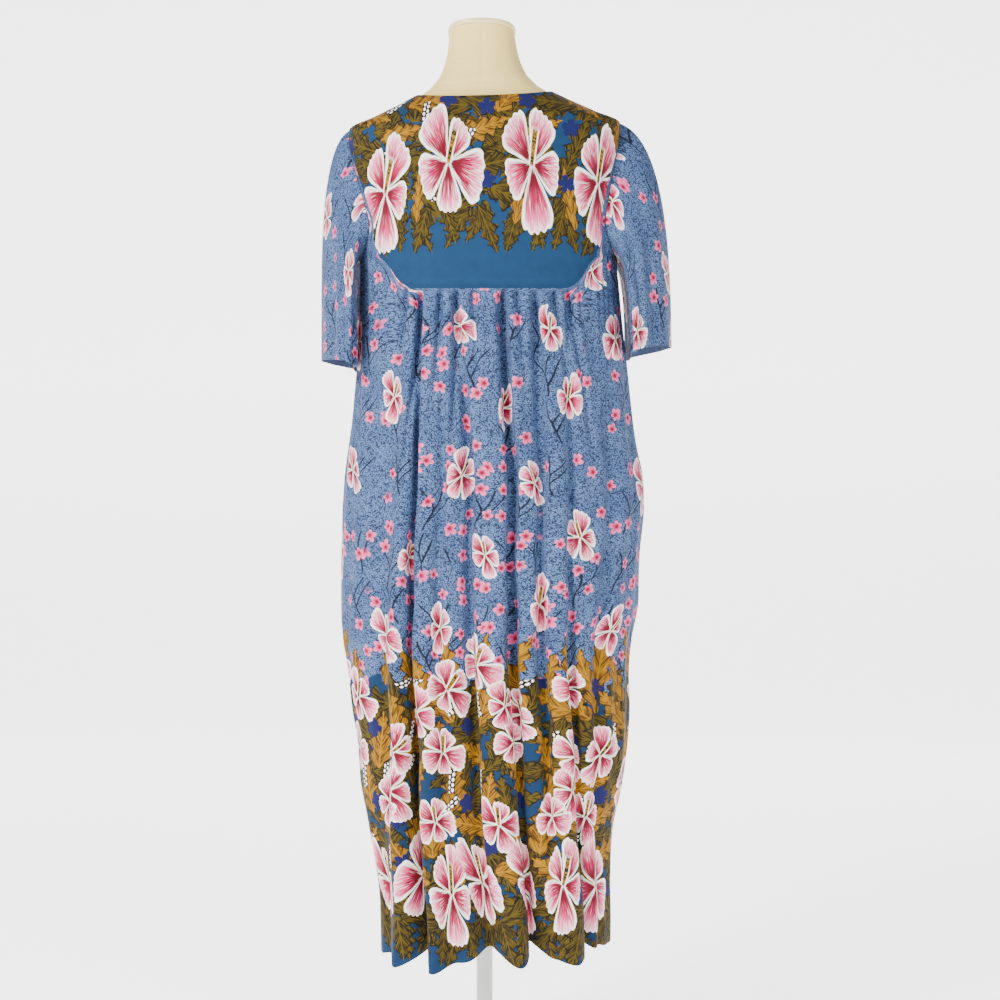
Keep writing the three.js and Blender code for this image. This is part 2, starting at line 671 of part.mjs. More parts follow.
/** The upright pole between the base and the flat bottom of the form. */
function pole() {
  const bottom = HUB_HEIGHT + SEAM_GAP;
  const length = FORM[0].z - SEAM_GAP - bottom;
  const geometry = new THREE.CylinderGeometry(POLE_RADIUS, POLE_RADIUS, length, ROUND_SIDES);
  return geometry.rotateX(Math.PI / 2).translate(0, 0, bottom + length / 2);
}

/** The round base with its hub, turned about the upright axis. */
function base() {
  const profile = [
    [0, 0],
    [BASE_RADIUS, 0],
    [BASE_RADIUS, BASE_THICKNESS - BASE_EDGE],
    [BASE_RADIUS - BASE_EDGE, BASE_THICKNESS],
    [HUB_RADIUS + BASE_EDGE, BASE_THICKNESS],
    [HUB_RADIUS, BASE_THICKNESS + BASE_EDGE],
    [HUB_RADIUS - 3, HUB_HEIGHT],
    [0, HUB_HEIGHT],
  ];
  const points = profile.map(([radius, height]) => new THREE.Vector2(radius, height));
  return new THREE.LatheGeometry(points, ROUND_SIDES).rotateX(Math.PI / 2);
}

/** Adds a named mesh with its finish to the group. */
function add(name, geometry, finish) {
  const mesh = new THREE.Mesh(geometry, new THREE.MeshStandardMaterial(FINISH[finish]));
  mesh.name = name;
  group.add(mesh);
}

const panels = { back: bodyPanel("back"), front: bodyPanel("front") };
for (const side of ["back", "front"]) {
  const cut = yoke(side);
  add(`${side}_yoke`, wallOf(cut.points, cut.normals), "hibiscus");
  add(`${side}_panel`, wallOf(panels[side].points, panels[side].normals), "squiggle");
}
for (const cut of SLEEVES) {
  const { points, normals } = sleeve(panels, cut);
  add(cut.name, wallOf(points, normals, true), "squiggle");
}
add("form_body", formBody(), "linen");
add("form_neck_cap", neckCap(), "cap");
add("stand_pole", pole(), "stand");
add("stand_base", base(), "stand");

export default group;
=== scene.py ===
"""A muumuu dress, seen from behind, on a padded dress form with a pole and a round base.

Shapes are worked out in millimetres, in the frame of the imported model, and become metres when a mesh is made.
The back of the dress faces -Y. A cloth piece is a grid of points: the first axis runs across the cloth from
the dress's left side to its right side, and the second along it.
"""

import logging
from collections.abc import Callable
from dataclasses import dataclass, field, replace
from enum import Enum
from functools import cached_property

import bpy
import numpy as np
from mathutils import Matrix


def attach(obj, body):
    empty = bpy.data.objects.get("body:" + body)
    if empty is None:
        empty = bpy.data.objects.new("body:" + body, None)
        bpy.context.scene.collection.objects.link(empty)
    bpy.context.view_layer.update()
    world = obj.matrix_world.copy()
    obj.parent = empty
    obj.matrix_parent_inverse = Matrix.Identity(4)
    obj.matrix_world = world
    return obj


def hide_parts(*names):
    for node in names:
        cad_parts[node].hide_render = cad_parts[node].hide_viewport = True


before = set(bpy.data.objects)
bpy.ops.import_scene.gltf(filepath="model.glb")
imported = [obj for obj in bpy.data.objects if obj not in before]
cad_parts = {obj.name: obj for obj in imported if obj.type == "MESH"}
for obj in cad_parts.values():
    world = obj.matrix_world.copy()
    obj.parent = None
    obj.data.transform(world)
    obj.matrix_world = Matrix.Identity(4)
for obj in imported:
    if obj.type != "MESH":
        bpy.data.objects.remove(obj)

LOG = logging.getLogger("muumuu")
Grid = np.ndarray
Column = Callable[[Grid], Grid]
Pair = tuple[float, float]
Tree = bpy.types.NodeTree
Object = bpy.types.Object

MM = 0.001
SEED = 7

# Dyes are deepened: their light is raised to this power
DYE_DEPTH = 1.45

# Cloth: height of its right side over the inside of the solid's wall, its own thickness, and the seam gap
WALL = 1.5
CLOTH = 0.8
SEAM_GAP = 0.3

# Every level section lies between an ellipse (2) and a box (large numbers)
SQUARENESS = 2.2

# Step of the share of a section over which a direction is measured
NEAR = 0.004


class Side(Enum):
    """The two sides of the dress and the way each faces along Y."""

    BACK = -1
    FRONT = 1


class Slot(Enum):
    """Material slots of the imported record."""

    BORDER_CLOTH = "border_cloth"
    BODY_CLOTH = "body_cloth"
    FORM_LINEN = "form_linen"
    NECK_CAP = "neck_cap"


def ramp(value: Grid, start: float, end: float) -> Grid:
    """Rises smoothly from 0 at start to 1 at end: 3t^2 - 2t^3 of the share t of the way."""
    t = np.clip((value - start) / (end - start), 0, 1)
    return t * t * (3 - 2 * t)


def bell(off: Grid, width: float | Grid) -> Grid:
    """1 in the middle and falling to both sides: exp(-(off / width)^2)."""
    return np.exp(-((off / width) ** 2))


def wave(run: Grid, length: float, *strays: tuple[float, Grid]) -> Grid:
    """A wave whose phase strays: sin(2 pi run / length + each stray's size * sin(its place))."""
    return np.sin(2 * np.pi * run / length + sum(size * np.sin(place) for size, place in strays))


def rounded(part: Grid) -> Grid:
    """A sine or cosine bent to a section's outline: its sign times |part|^(2 / SQUARENESS)."""
    return np.sign(part) * np.abs(part) ** (2 / SQUARENESS)


def looped(rows: Grid) -> Grid:
    """Rows with the first one again at the end."""
    return np.concatenate([rows, rows[:1]])


def smooth_column(places: list[float], values: list[float]) -> Column:
    """A table's column as a smooth function with no overshoot.

    Cubic pieces whose slope at a row is the harmonic mean of the slopes beside it, or 0 where they disagree.

    Args:
        places: Rising values of the table's first column.
        values: The column's values at those places.

    Returns:
        A function of the place, which holds the end values beyond the table.
    """
    xs, ys = np.asarray(places, float), np.asarray(values, float)
    secants = np.diff(ys) / np.diff(xs)
    before, after = np.append(secants[0], secants), np.append(secants, secants[-1])
    agree = before * after > 0
    slopes = np.where(agree, 2 * before * after / np.where(agree, before + after, 1), 0)

    def column(value: Grid) -> Grid:
        """The column's value at each place."""
        x = np.clip(value, xs[0], xs[-1])
        i = np.clip(np.searchsorted(xs, x, side="right") - 1, 0, len(secants) - 1)
        step = xs[i + 1] - xs[i]
        t = (x - xs[i]) / step
        bend = t * (1 - t) ** 2 * slopes[i] - t * t * (1 - t) * slopes[i + 1]
        return ys[i] + (ys[i + 1] - ys[i]) * t * t * (3 - 2 * t) + bend * step

    return column


@dataclass
class Sections:
    """Level sections of a body.

    Attributes:
        rows: Height, half width, depth to the back, depth to the front and x of the middle.
    """

    rows: tuple[tuple[float, ...], ...]

    @cached_property
    def columns(self) -> dict[str, Column]:
        """The table's columns as smooth functions of the height."""
        z, half, back, front, mid = np.array(self.rows, float).T
        named = {"half": half, "back": back, "front": front, "mid": mid}
        return {name: smooth_column(z, values) for name, values in named.items()}

    def half(self, z: Grid) -> Grid:
        """Half width at a height."""
        return self.columns["half"](z)

    def depth(self, side: Side, z: Grid) -> Grid:
        """Depth to one side at a height."""
        return self.columns[side.name.lower()](z)

    def point(self, side: Side, share: Grid, z: Grid, out: float | Grid = 0) -> Grid:
        """Point of a level section.

        x is the half width times the sine and y the depth times the cosine, both rounded, of the angle that
        share gives from -90 to 90 degrees.

        Args:
            side: Side of the section.
            share: From -1 at the left to 1 at the right.
            z: Height.
            out: How far the section is grown.

        Returns:
            Points, with x, y and z along the last axis.
        """
        angle = share * np.pi / 2
        x = (self.half(z) + out) * rounded(np.sin(angle))
        y = side.value * (self.depth(side, z) + out) * rounded(np.cos(angle))
        return np.stack(np.broadcast_arrays(self.columns["mid"](z) + x, y, z), axis=-1)


def unit(vectors: Grid) -> Grid:
    """Vectors along the last axis, each divided by its length."""
    return vectors / np.maximum(np.linalg.norm(vectors, axis=-1, keepdims=True), 1e-9)


def grid_normals(points: Grid, centers: Grid, closed: bool = False) -> Grid:
    """Directions out of a grid of points: across x along, from differences between neighbours.

    Args:
        points: Grid of points.
        centers: Points that lie inside the piece, which broadcast against the grid.
        closed: Whether the last column meets the first.

    Returns:
        Unit directions, all on the side away from the centres.
    """
    if closed:
        across = np.roll(points, -1, axis=0) - np.roll(points, 1, axis=0)
    else:
        across = np.gradient(points, axis=0)
    normals = unit(np.cross(across, np.gradient(points, axis=1)))
    return normals * np.sign(np.sum(normals * unit(points - centers)))


def along_rows(values: Grid) -> Grid:
    """Running sum of steps along the first axis, counted from the middle column."""
    run = np.concatenate([np.zeros((1, *values.shape[1:])), np.cumsum(values, axis=0)])
    return run - run[len(run) // 2]


@dataclass(frozen=True)
class Fold:
    """A long fold.

    Attributes:
        x: Places from the dress's middle at the fold levels.
        wide: Half width at the yoke and at the hem.
        deep: How far in (below zero, out) the cloth lies at the fold levels.
        crease: How much deeper a narrow crease in the fold's middle goes at the fold levels.
    """

    x: tuple[float, ...]
    wide: Pair
    deep: tuple[float, ...]
    crease: tuple[float, ...] = (0, 0, 0, 0)


@dataclass(frozen=True)
class Tuck:
    """A tuck under the yoke: place from the middle, depth, and length down from the seam."""

    x: float
    deep: float
    long: float


@dataclass
class DressCut:
    """The inside surface of the dress, from which every cloth piece is cut."""

    neck_point_z: float = 1519
    neck_half: float = 103
    neck_spread_z: float = 1370
    neck_crowding: float = 2
    shoulder_z: float = 1470
    underarm_z: float = 1262
    neck_dip: dict[Side, float] = field(default_factory=lambda: {Side.BACK: 15, Side.FRONT: 80})
    hem_z: float = 208
    hem_tilt: float = 10
    hem_follows_fold: float = 0.6
    side_stillness: float = 10
    fold_levels: tuple[float, ...] = (1190, 894, 505, 200)
    fold_start: float = 70
    tuck_start: float = 14
    tuck_half_width: float = 7
    crease_half_width: float = 5.5
    crease_strength: float = 1.5
    tuck_crease: float = 1.5
    tuck_crease_half_width: float = 3.6
    tuck_spread: float = 900
    tuck_reach: float = 4.5
    lip_place: float = 9
    tuck_lip_place: float = 7.2
    lip_half_width: float = 6
    lip_share: float = 0.45
    gather_length: float = 8.3
    gather_fade: float = 16
    gathers_high: float = 0.6
    pleat_length: float = 21.3
    pleat_fade: float = 130
    pleats_high: float = 0.9
    sway_length: float = 44
    sway_high: float = 1.7
    ripple_high: float = 0.35
    slack_from: Pair = (60, 200)
    shoulder_tilt: float = 0.028
    tilt_levels: tuple[float, ...] = (1240, 1450, 1530, 1610)
    sections: Sections = field(
        default_factory=lambda: Sections(
            (
                (170, 175, 143, 160, 17),
                (243, 176.5, 143, 160, 17),
                (290, 177.5, 144, 160, 16),
                (351, 182.5, 146, 161, 12),
                (398, 188.5, 148, 162, 10),
                (460, 200.5, 150, 163, 11),
                (522, 206.5, 151, 164, 13),
                (575, 212.5, 152, 164, 10),
                (635, 215.5, 152, 164, 6),
                (677, 221, 152, 163, 4),
                (739, 228, 152, 162, 8),
                (801, 228.5, 151, 161, 9),
                (879, 231, 149, 158, 13.5),
                (920, 229.5, 147, 156, 14.5),
                (989, 219.5, 141, 152, 12.5),
                (1082, 209, 132, 146, 12),
                (1150, 203, 126, 143, 10),
                (1211, 199, 120, 140, 8),
                (1262, 197, 118, 138, 6),
                (1306, 198, 118, 136, 5),
                (1350, 201, 117, 130, 3),
                (1401, 205, 110, 114, 1),
                (1440, 207.5, 100, 100, 0),
                (1470, 208, 91, 90, 0),
                (1485, 175.9, 86, 86, 0),
                (1502, 139.4, 78, 80, 0),
                (1519, 103, 70, 74, 0),
            )
        )
    )
    armhole: tuple[tuple[float, float], ...] = (
        (1262, 1),
        (1269, 0.87),
        (1284, 0.765),
        (1312, 0.69),
        (1355, 0.735),
        (1400, 0.81),
        (1438, 0.9),
        (1470, 1),
    )
    yoke_seam: tuple[tuple[float, float], ...] = (
        (0, 1210),
        (0.36, 1212),
        (0.43, 1220),
        (0.56, 1256),
        (0.87, 1300),
        (0.915, 1350),
        (0.94, 1395),
        (1, 1470),
    )
    back_folds: tuple[Fold, ...] = (
        Fold((-124, -163, -164, -166), (20, 20), (3, 9, 10, 8)),
        Fold((-103, -119, -118, -111), (11, 17), (4, 14, 22, 42), (5, 10, 8, 3)),
        Fold((-74, -78, -71, -60), (13, 13), (3, 8, 6, 4), (2, 4, 3, 0)),
        Fold((-50, -35, -24, -6), (15, 22), (4, 18, 19, 34), (4, 7, 6, 2)),
        Fold((20, 32, 47, 66), (11, 14), (4, 15, 18, 40), (5, 10, 7, 3)),
        Fold((68, 77, 88, 96), (14, 14), (3, 12, 11, 3), (3, 7, 5, 1)),
        Fold((117, 121, 133, 143), (12, 12), (3, 9, 13, 28), (2, 4, 5, 2)),
        Fold((150, 177, 162, 160), (14, 12), (0, 8, 8, 8)),
        Fold((-112, -138, -140, -140), (16, 16), (0, -5, -7, -14)),
        Fold((-86, -98, -95, -86), (13, 16), (0, -6, -8, -20)),
        Fold((-10, 2, 14, 34), (22, 18), (0, -6, -8, -14)),
        Fold((95, 100, 111, 113), (14, 20), (0, -5, -7, -16)),
    )
    front_folds: tuple[Fold, ...] = (
        Fold((-118, -160, -158, -150), (18, 18), (3, 9, 11, 16)),
        Fold((-84, -104, -100, -92), (14, 18), (4, 13, 18, 34), (2, 4, 2, 0)),
        Fold((-44, -52, -46, -38), (14, 17), (3, 12, 12, 16)),
        Fold((-8, -2, 6, 12), (15, 20), (4, 15, 19, 36), (2, 4, 2, 0)),
        Fold((40, 50, 58, 66), (14, 16), (3, 11, 10, 12)),
        Fold((82, 100, 106, 112), (13, 17), (4, 14, 18, 32), (2, 4, 2, 0)),
        Fold((118, 158, 160, 156), (18, 16), (3, 9, 10, 12)),
        Fold((-64, -78, -74, -66), (15, 18), (0, -6, -9, -18)),
        Fold((14, 24, 32, 40), (15, 18), (0, -6, -9, -16)),
        Fold((100, 130, 134, 134), (15, 18), (0, -5, -8, -14)),
    )
    back_tucks: tuple[Tuck, ...] = (
        Tuck(-124, 4, 45),
        Tuck(-103, 6, 90),
        Tuck(-74, 5, 55),
        Tuck(-50, 6, 85),
        Tuck(-23, 4, 40),
        Tuck(20, 6, 95),
        Tuck(42, 4, 50),
        Tuck(68, 5, 80),
        Tuck(97, 5, 45),
        Tuck(117, 5, 70),
    )
    front_tucks: tuple[Tuck, ...] = (
        Tuck(-118, 5, 60),
        Tuck(-84, 6, 85),
        Tuck(-60, 4, 45),
        Tuck(-32, 5, 75),
        Tuck(-8, 5, 55),
        Tuck(18, 5, 80),
        Tuck(44, 4, 45),
        Tuck(70, 6, 85),
        Tuck(92, 4, 50),
        Tuck(118, 5, 70),
    )

    @cached_property
    def armhole_share(self) -> Column:
        """Share of a half section that the cloth covers beside the arm, by height."""
        return smooth_column(*zip(*self.armhole))

    @cached_property
    def yoke_seam_z(self) -> Column:
        """Height of the yoke seam, by share of the way from the middle to the armhole."""
        return smooth_column(*zip(*self.yoke_seam))

    def at_levels(self, values: tuple[float, ...]) -> Column:
        """Values at the four fold levels as a function of height."""
        return smooth_column(self.fold_levels[::-1], values[::-1])

    def share_at(self, x: Grid, z: Grid) -> Grid:
        """Share of the half section at which the cloth has this x: the inverse of Sections.point."""
        reach = np.clip(np.abs(x) / self.sections.half(z), 0, 1)
        return np.sign(x) * 2 * np.arcsin(reach ** (SQUARENESS / 2)) / np.pi

    def neckline(self, side: Side, across: Grid) -> tuple[Grid, Grid]:
        """Top of each column: its height and its share of the section.

        A dip below the neck points with the outline of a level section, with columns crowded to the sides.
        """
        angle = np.sign(across) * (1 - (1 - np.abs(across)) ** self.neck_crowding) * np.pi / 2
        z = self.neck_point_z - self.neck_dip[side] * rounded(np.cos(angle))
        return z, self.share_at(self.neck_half * rounded(np.sin(angle)), z)

    def column_share(self, side: Side, across: Grid, z: Grid) -> Grid:
        """Share of the section for a column: drawn in beside the arm, and gathered towards the neckline."""
        in_armhole = (z >= self.underarm_z) & (z <= self.shoulder_z)
        cut = np.where(in_armhole, 1 - self.armhole_share(z), 0)
        top_z, top_share = self.neckline(side, across)
        gather = (top_share - across) * ramp(z, self.neck_spread_z, top_z)
        return across * (1 - cut * np.abs(across)) + gather

    def arc_scale(self, side: Side, z: Grid) -> Grid:
        """Length along a section for each unit of share, near enough to place folds."""
        return 0.8 * (self.sections.half(z) + self.sections.depth(side, z))

    def off_fold(self, side: Side, across: Grid, z: Grid, x: Grid) -> Grid:
        """Distance along the section from a place x."""
        share = self.column_share(side, across, z)
        return (share - self.share_at(x, z)) * self.arc_scale(side, z)

    def below_seam(self, across: Grid, z: Grid) -> Grid:
        """Distance down from the yoke seam."""
        return self.yoke_seam_z(np.abs(across)) - z

    def stillness(self, across: Grid) -> Grid:
        """1 on the cloth and 0 at its side seams, where it can't fold."""
        return 1 - np.abs(across) ** self.side_stillness

    def folds_and_tucks(self, side: Side) -> tuple[tuple[Fold, ...], tuple[Tuck, ...]]:
        """The long folds and the tucks of one side."""
        if side is Side.BACK:
            return self.back_folds, self.back_tucks
        return self.front_folds, self.front_tucks

    def fold(self, side: Side, across: Grid, z: Grid) -> Grid:
        """How far out the cloth lies: a bell of its distance at each fold and tuck."""
        folds, tucks = self.folds_and_tucks(side)
        below = self.below_seam(across, z)
        fall = ramp(-z, -self.fold_levels[0], -self.fold_levels[-1])
        out = np.zeros(np.broadcast(across, z).shape)
        for made in folds:
            width = made.wide[0] + (made.wide[1] - made.wide[0]) * fall
            off = self.off_fold(side, across, z, self.at_levels(made.x)(z))
            deep = self.at_levels(made.deep)(z) * ramp(below, 0, self.fold_start)
            out -= deep * bell(off, width)
        for tuck in tucks:
            off = self.off_fold(side, across, z, tuck.x)
            fade = ramp(below, 0, self.tuck_start) * (1 - ramp(below, self.tuck_start, tuck.long))
            out -= tuck.deep * fade * bell(off, self.tuck_half_width)
        return out * self.stillness(across)

    def creases(self, side: Side, across: Grid, z: Grid) -> Grid:
        """Height of the narrow creases in folds and tucks, each with a raised lip on its right."""
        folds, tucks = self.folds_and_tucks(side)
        below = self.below_seam(across, z)
        out = np.zeros(np.broadcast(across, z).shape)
        for made in folds:
            if any(made.crease):
                off = self.off_fold(side, across, z, self.at_levels(made.x)(z) + 2 * np.sin(z / 47))
                narrow = bell(off, self.crease_half_width)
                lip = bell(off - self.lip_place, self.lip_half_width)
                deep = self.crease_strength * self.at_levels(made.crease)(z) * ramp(below, 4, 40)
                out -= deep * (narrow - self.lip_share * lip)
        for tuck in tucks:
            off = self.off_fold(side, across, z, tuck.x * (1 + below / self.tuck_spread))
            fade = ramp(below, 0, 8) * (1 - ramp(below, tuck.long, self.tuck_reach * tuck.long))
            lip = bell(off - self.tuck_lip_place, self.lip_half_width)
            narrow = bell(off, self.tuck_crease_half_width)
            out -= self.tuck_crease * tuck.deep * fade * (narrow - self.lip_share * lip)
        return out

    def detail(self, side: Side, across: Grid, z: Grid) -> Grid:
        """Fine relief over the folds: creases, gathers that fade below the seam, and slow unevenness."""
        below = self.below_seam(across, z)
        run = self.column_share(side, across, z) * self.arc_scale(side, z)
        gathers = wave(run, self.gather_length, (1.7, run / 5))
        gathers = gathers * ramp(below, 0, 6) * np.exp(-below / self.gather_fade)
        pleats = wave(run, self.pleat_length, (3.1, run / 29), (1.7, run / 13))
        pleats = pleats * ramp(below, 0, 25) * np.exp(-below / self.pleat_fade)
        sway = wave(run, self.sway_length, (1.9, z / 170 + side.value), (0.8, run / 61))
        ripple = np.sin(z / 21 + run / 9 + 2 * np.sin(run / 31)) * np.sin(z / 67 + 1.3 * side.value)
        out = self.creases(side, across, z) + self.gathers_high * gathers + self.pleats_high * pleats
        out += (self.sway_high * sway + self.ripple_high * ripple) * ramp(below, *self.slack_from)
        return out * self.stillness(across)

    def hem(self, side: Side, across: Grid) -> Grid:
        """Height of the hem: it lifts where a fold lies in, and the right side hangs higher."""
        level = np.full(np.shape(across), self.hem_z)
        return self.hem_z + self.hem_tilt * across - self.hem_follows_fold * self.fold(side, across, level)

    def inside(self, side: Side, across: Grid, z: Grid, out: float | Grid = 0) -> Grid:
        """A point of the dress's inside, half the seam gap in front of or behind the side seams."""
        point = self.sections.point(side, self.column_share(side, across, z), z, out)
        point[..., 1] += side.value * SEAM_GAP / 2
        return point

    def plain_normal(self, side: Side, across: Grid, z: Grid) -> Grid:
        """Level-seam direction out of the plain section at a side edge, in the plane of the seam."""
        share = np.clip(self.column_share(side, across, z), -1 + NEAR, 1 - NEAR)
        over = self.sections.point(side, share + NEAR, z) - self.sections.point(side, share - NEAR, z)
        up = self.sections.point(side, share, z + 1) - self.sections.point(side, share, z - 1)
        normal = np.cross(over, up) * -side.value
        normal[..., 1] = 0
        return unit(normal)

    def directions(self, side: Side, points: Grid, across: Grid, z: Grid) -> Grid:
        """Directions out of a panel's or yoke's points, which at the side edges lie in the seam's plane."""
        made = grid_normals(points, self.spine(points))
        for edge in (0, -1):
            made[edge] = self.plain_normal(side, across[edge], z[edge])
        return made

    def spine(self, points: Grid) -> Grid:
        """Points of the dress's middle line at the heights of these points."""
        z = points[..., 2]
        return np.stack([self.sections.columns["mid"](z), np.zeros_like(z), z], axis=-1)

    def level_run(self, side: Side, across: Grid, z: Grid, steps: int = 24) -> Grid:
        """Length along the level section from the middle: a sum of short chords."""
        share = self.column_share(side, across, z)
        parts = np.linspace(0, 1, steps).reshape(-1, 1, 1)
        points = self.sections.point(side, share * parts, np.broadcast_to(z, (steps, *z.shape)))
        chords = np.diff(points, axis=0)
        return np.sign(share) * np.linalg.norm(chords, axis=-1).sum(axis=0)

    def tilted(self, points: Grid) -> Grid:
        """Points moved by the slope of the shoulders, which stand a little higher on the right."""
        start, full, ease, end = self.tilt_levels
        z = points[..., 2]
        rise = self.shoulder_tilt * points[..., 0] * ramp(z, start, full) * (1 - ramp(z, ease, end))
        return points + np.stack([np.zeros_like(z), np.zeros_like(z), rise], axis=-1)


@dataclass
class Cloth:
    """A grid of cloth.

    Attributes:
        outer: Points of the right side.
        normals: Directions out of the right side.
        run: Place on the cut cloth for each point: across and up. A closed grid has one column more here.
        closed: Whether the last column meets the first.
    """

    outer: Grid
    normals: Grid
    run: Grid
    closed: bool = False

    @property
    def loop(self) -> Grid:
        """Points of the right side, with the first column again at the end of a closed grid."""
        return looped(self.outer) if self.closed else self.outer

    @property
    def flat_size(self) -> Pair:
        """Width and length of the cut in metres: the longest row and the longest column."""
        rows = np.linalg.norm(np.diff(self.loop, axis=0), axis=-1).sum(axis=0)
        columns = np.linalg.norm(np.diff(self.loop, axis=1), axis=-1).sum(axis=1)
        return float(rows.max() * MM), float(columns.max() * MM)

    def cut_at(self, centre: float) -> "Cloth":
        """The same piece cut from a place further across the printed cloth."""
        return replace(self, run=self.run + [centre, 0])

    @property
    def area(self) -> float:
        """Area of the right side in square metres: half the product of each quad's diagonals."""
        loop = self.loop
        one, other = loop[1:, 1:] - loop[:-1, :-1], loop[:-1, 1:] - loop[1:, :-1]
        return float(np.linalg.norm(np.cross(one, other), axis=-1).sum() / 2 * MM * MM)


def mesh_object(name: str, points: Grid, faces: Grid) -> Object:
    """A smooth mesh from points in millimetres, with its place in its mesh.

    Args:
        name: Name of the object.
        points: Points, one a row.
        faces: Point indices, one face a row.

    Returns:
        The object, linked to the scene.
    """
    mesh = bpy.data.meshes.new(name)
    mesh.from_pydata((points * MM).tolist(), [], faces.tolist())
    mesh.polygons.foreach_set("use_smooth", np.ones(len(mesh.polygons), bool))
    mesh.set_sharp_from_angle(angle=np.radians(50))
    made = bpy.data.objects.new(name, mesh)
    bpy.context.scene.collection.objects.link(made)
    return made


def rim_corners(wide: int, tall: int, closed: bool) -> tuple[Grid, Grid]:
    """Columns and rows of the corners of the faces along a cloth's edges.

    Args:
        wide: Columns of the grid.
        tall: Rows of the grid.
        closed: Whether the last column meets the first, so that only the rows' ends have rims.

    Returns:
        Columns and rows. Of each face, the first two corners are on the right side.
    """
    edge_i, edge_j = np.arange(wide if closed else wide - 1), np.arange(tall - 1)
    zero_i, zero_j = np.zeros_like(edge_i), np.zeros_like(edge_j)
    end_i, end_j = zero_j + wide - 1, zero_i + tall - 1
    rims = [(edge_i + 1, zero_i, edge_i, zero_i), (edge_i, end_j, edge_i + 1, end_j)]
    if not closed:
        rims += [(zero_j, edge_j, zero_j, edge_j + 1), (end_i, edge_j + 1, end_i, edge_j)]
    columns = np.concatenate([np.stack([i1, i2, i2, i1], axis=-1) for i1, _, i2, _ in rims])
    rows = np.concatenate([np.stack([j1, j2, j2, j1], axis=-1) for _, j1, _, j2 in rims])
    return columns, rows


def shell(name: str, cloth: Cloth) -> Object:
    """A thin closed shell: the right side, the wrong side CLOTH further in, and rims along the edges.

    The cloth's place is kept as the UV map "cloth" in metres, and the wrong side has the second material.

    Args:
        name: Name of the object.
        cloth: The grid of cloth.

    Returns:
        The object.
    """
    wide, tall = cloth.outer.shape[:2]
    spans = wide if cloth.closed else wide - 1
    count = wide * tall
    inner = cloth.outer - cloth.normals * CLOTH
    i, j = (part.ravel() for part in np.meshgrid(np.arange(spans), np.arange(tall - 1), indexing="ij"))
    corner_i = np.stack([i, i + 1, i + 1, i], axis=-1)
    corner_j = np.stack([j, j, j + 1, j + 1], axis=-1)
    middle = (wide // 2, tall // 2)
    step = cloth.outer[middle[0] + 1, middle[1]] - cloth.outer[middle]
    rise = cloth.outer[middle[0], middle[1] + 1] - cloth.outer[middle]
    faces_out = np.dot(np.cross(step, rise), cloth.normals[middle]) > 0
    rim_i, rim_j = rim_corners(wide, tall, cloth.closed)
    layer_rim = np.broadcast_to([0, 0, 1, 1], rim_i.shape)
    all_i = np.concatenate([corner_i, corner_i[:, ::-1], rim_i])
    all_j = np.concatenate([corner_j, corner_j[:, ::-1], rim_j])
    layers = np.concatenate([np.zeros_like(corner_i), np.ones_like(corner_i), layer_rim])
    wrong_side = np.concatenate([np.zeros(len(corner_i)), np.ones(len(corner_i)), np.zeros(len(rim_i))])
    if not faces_out:
        all_i, all_j, layers = all_i[:, ::-1], all_j[:, ::-1], layers[:, ::-1]
    faces = layers * count + (all_i % wide) * tall + all_j
    made = mesh_object(name, np.concatenate([cloth.outer.reshape(-1, 3), inner.reshape(-1, 3)]), faces)
    made.data.polygons.foreach_set("material_index", wrong_side.astype(np.int32))
    places = cloth.run[all_i, all_j] * MM
    made.data.uv_layers.new(name="cloth").data.foreach_set("uv", places.ravel())
    return made


def columns_of(count: int, crowding: float = 0.35) -> Grid:
    """Columns from -1 to 1 as a grid's first axis, crowded a little towards the armholes."""
    t = np.linspace(-1, 1, count + 1).reshape(-1, 1)
    return t * (1 + crowding - crowding * t * t)


@dataclass
class BodyPanel:
    """A wide body panel: gathered under the yoke, with armhole edges, side seams and a hem."""

    cut: DressCut
    side: Side
    columns: int
    rows: int
    row_crowding: float = 1.35
    column_crowding: float = 0.15

    def cloth(self) -> Cloth:
        """The panel's cloth: the solid's outside with fine relief.

        Each column falls from the yoke seam to the hem, and its place across is its length along the level
        section and what the folds take up.
        """
        cut, side = self.cut, self.side
        across = columns_of(self.columns, self.column_crowding)
        share = np.linspace(0, 1, self.rows + 1) ** self.row_crowding
        top = cut.yoke_seam_z(np.abs(across))
        z = top + (cut.hem(side, across) - top) * share
        across = np.broadcast_to(across, z.shape)
        fold, detail = cut.fold(side, across, z), cut.detail(side, across, z)
        points = cut.inside(side, across, z, fold)
        normals = cut.directions(side, points, across, z)
        outer = points + normals * (WALL + detail)[..., None]
        level = cut.level_run(side, across, z)
        steps = np.diff(level, axis=0)
        taken_up = np.hypot(steps, np.diff(fold + detail, axis=0)) - np.abs(steps)
        run = np.stack([level + along_rows(taken_up), z], axis=-1)
        return Cloth(cut.tilted(outer), cut.directions(side, outer, across, z), run)


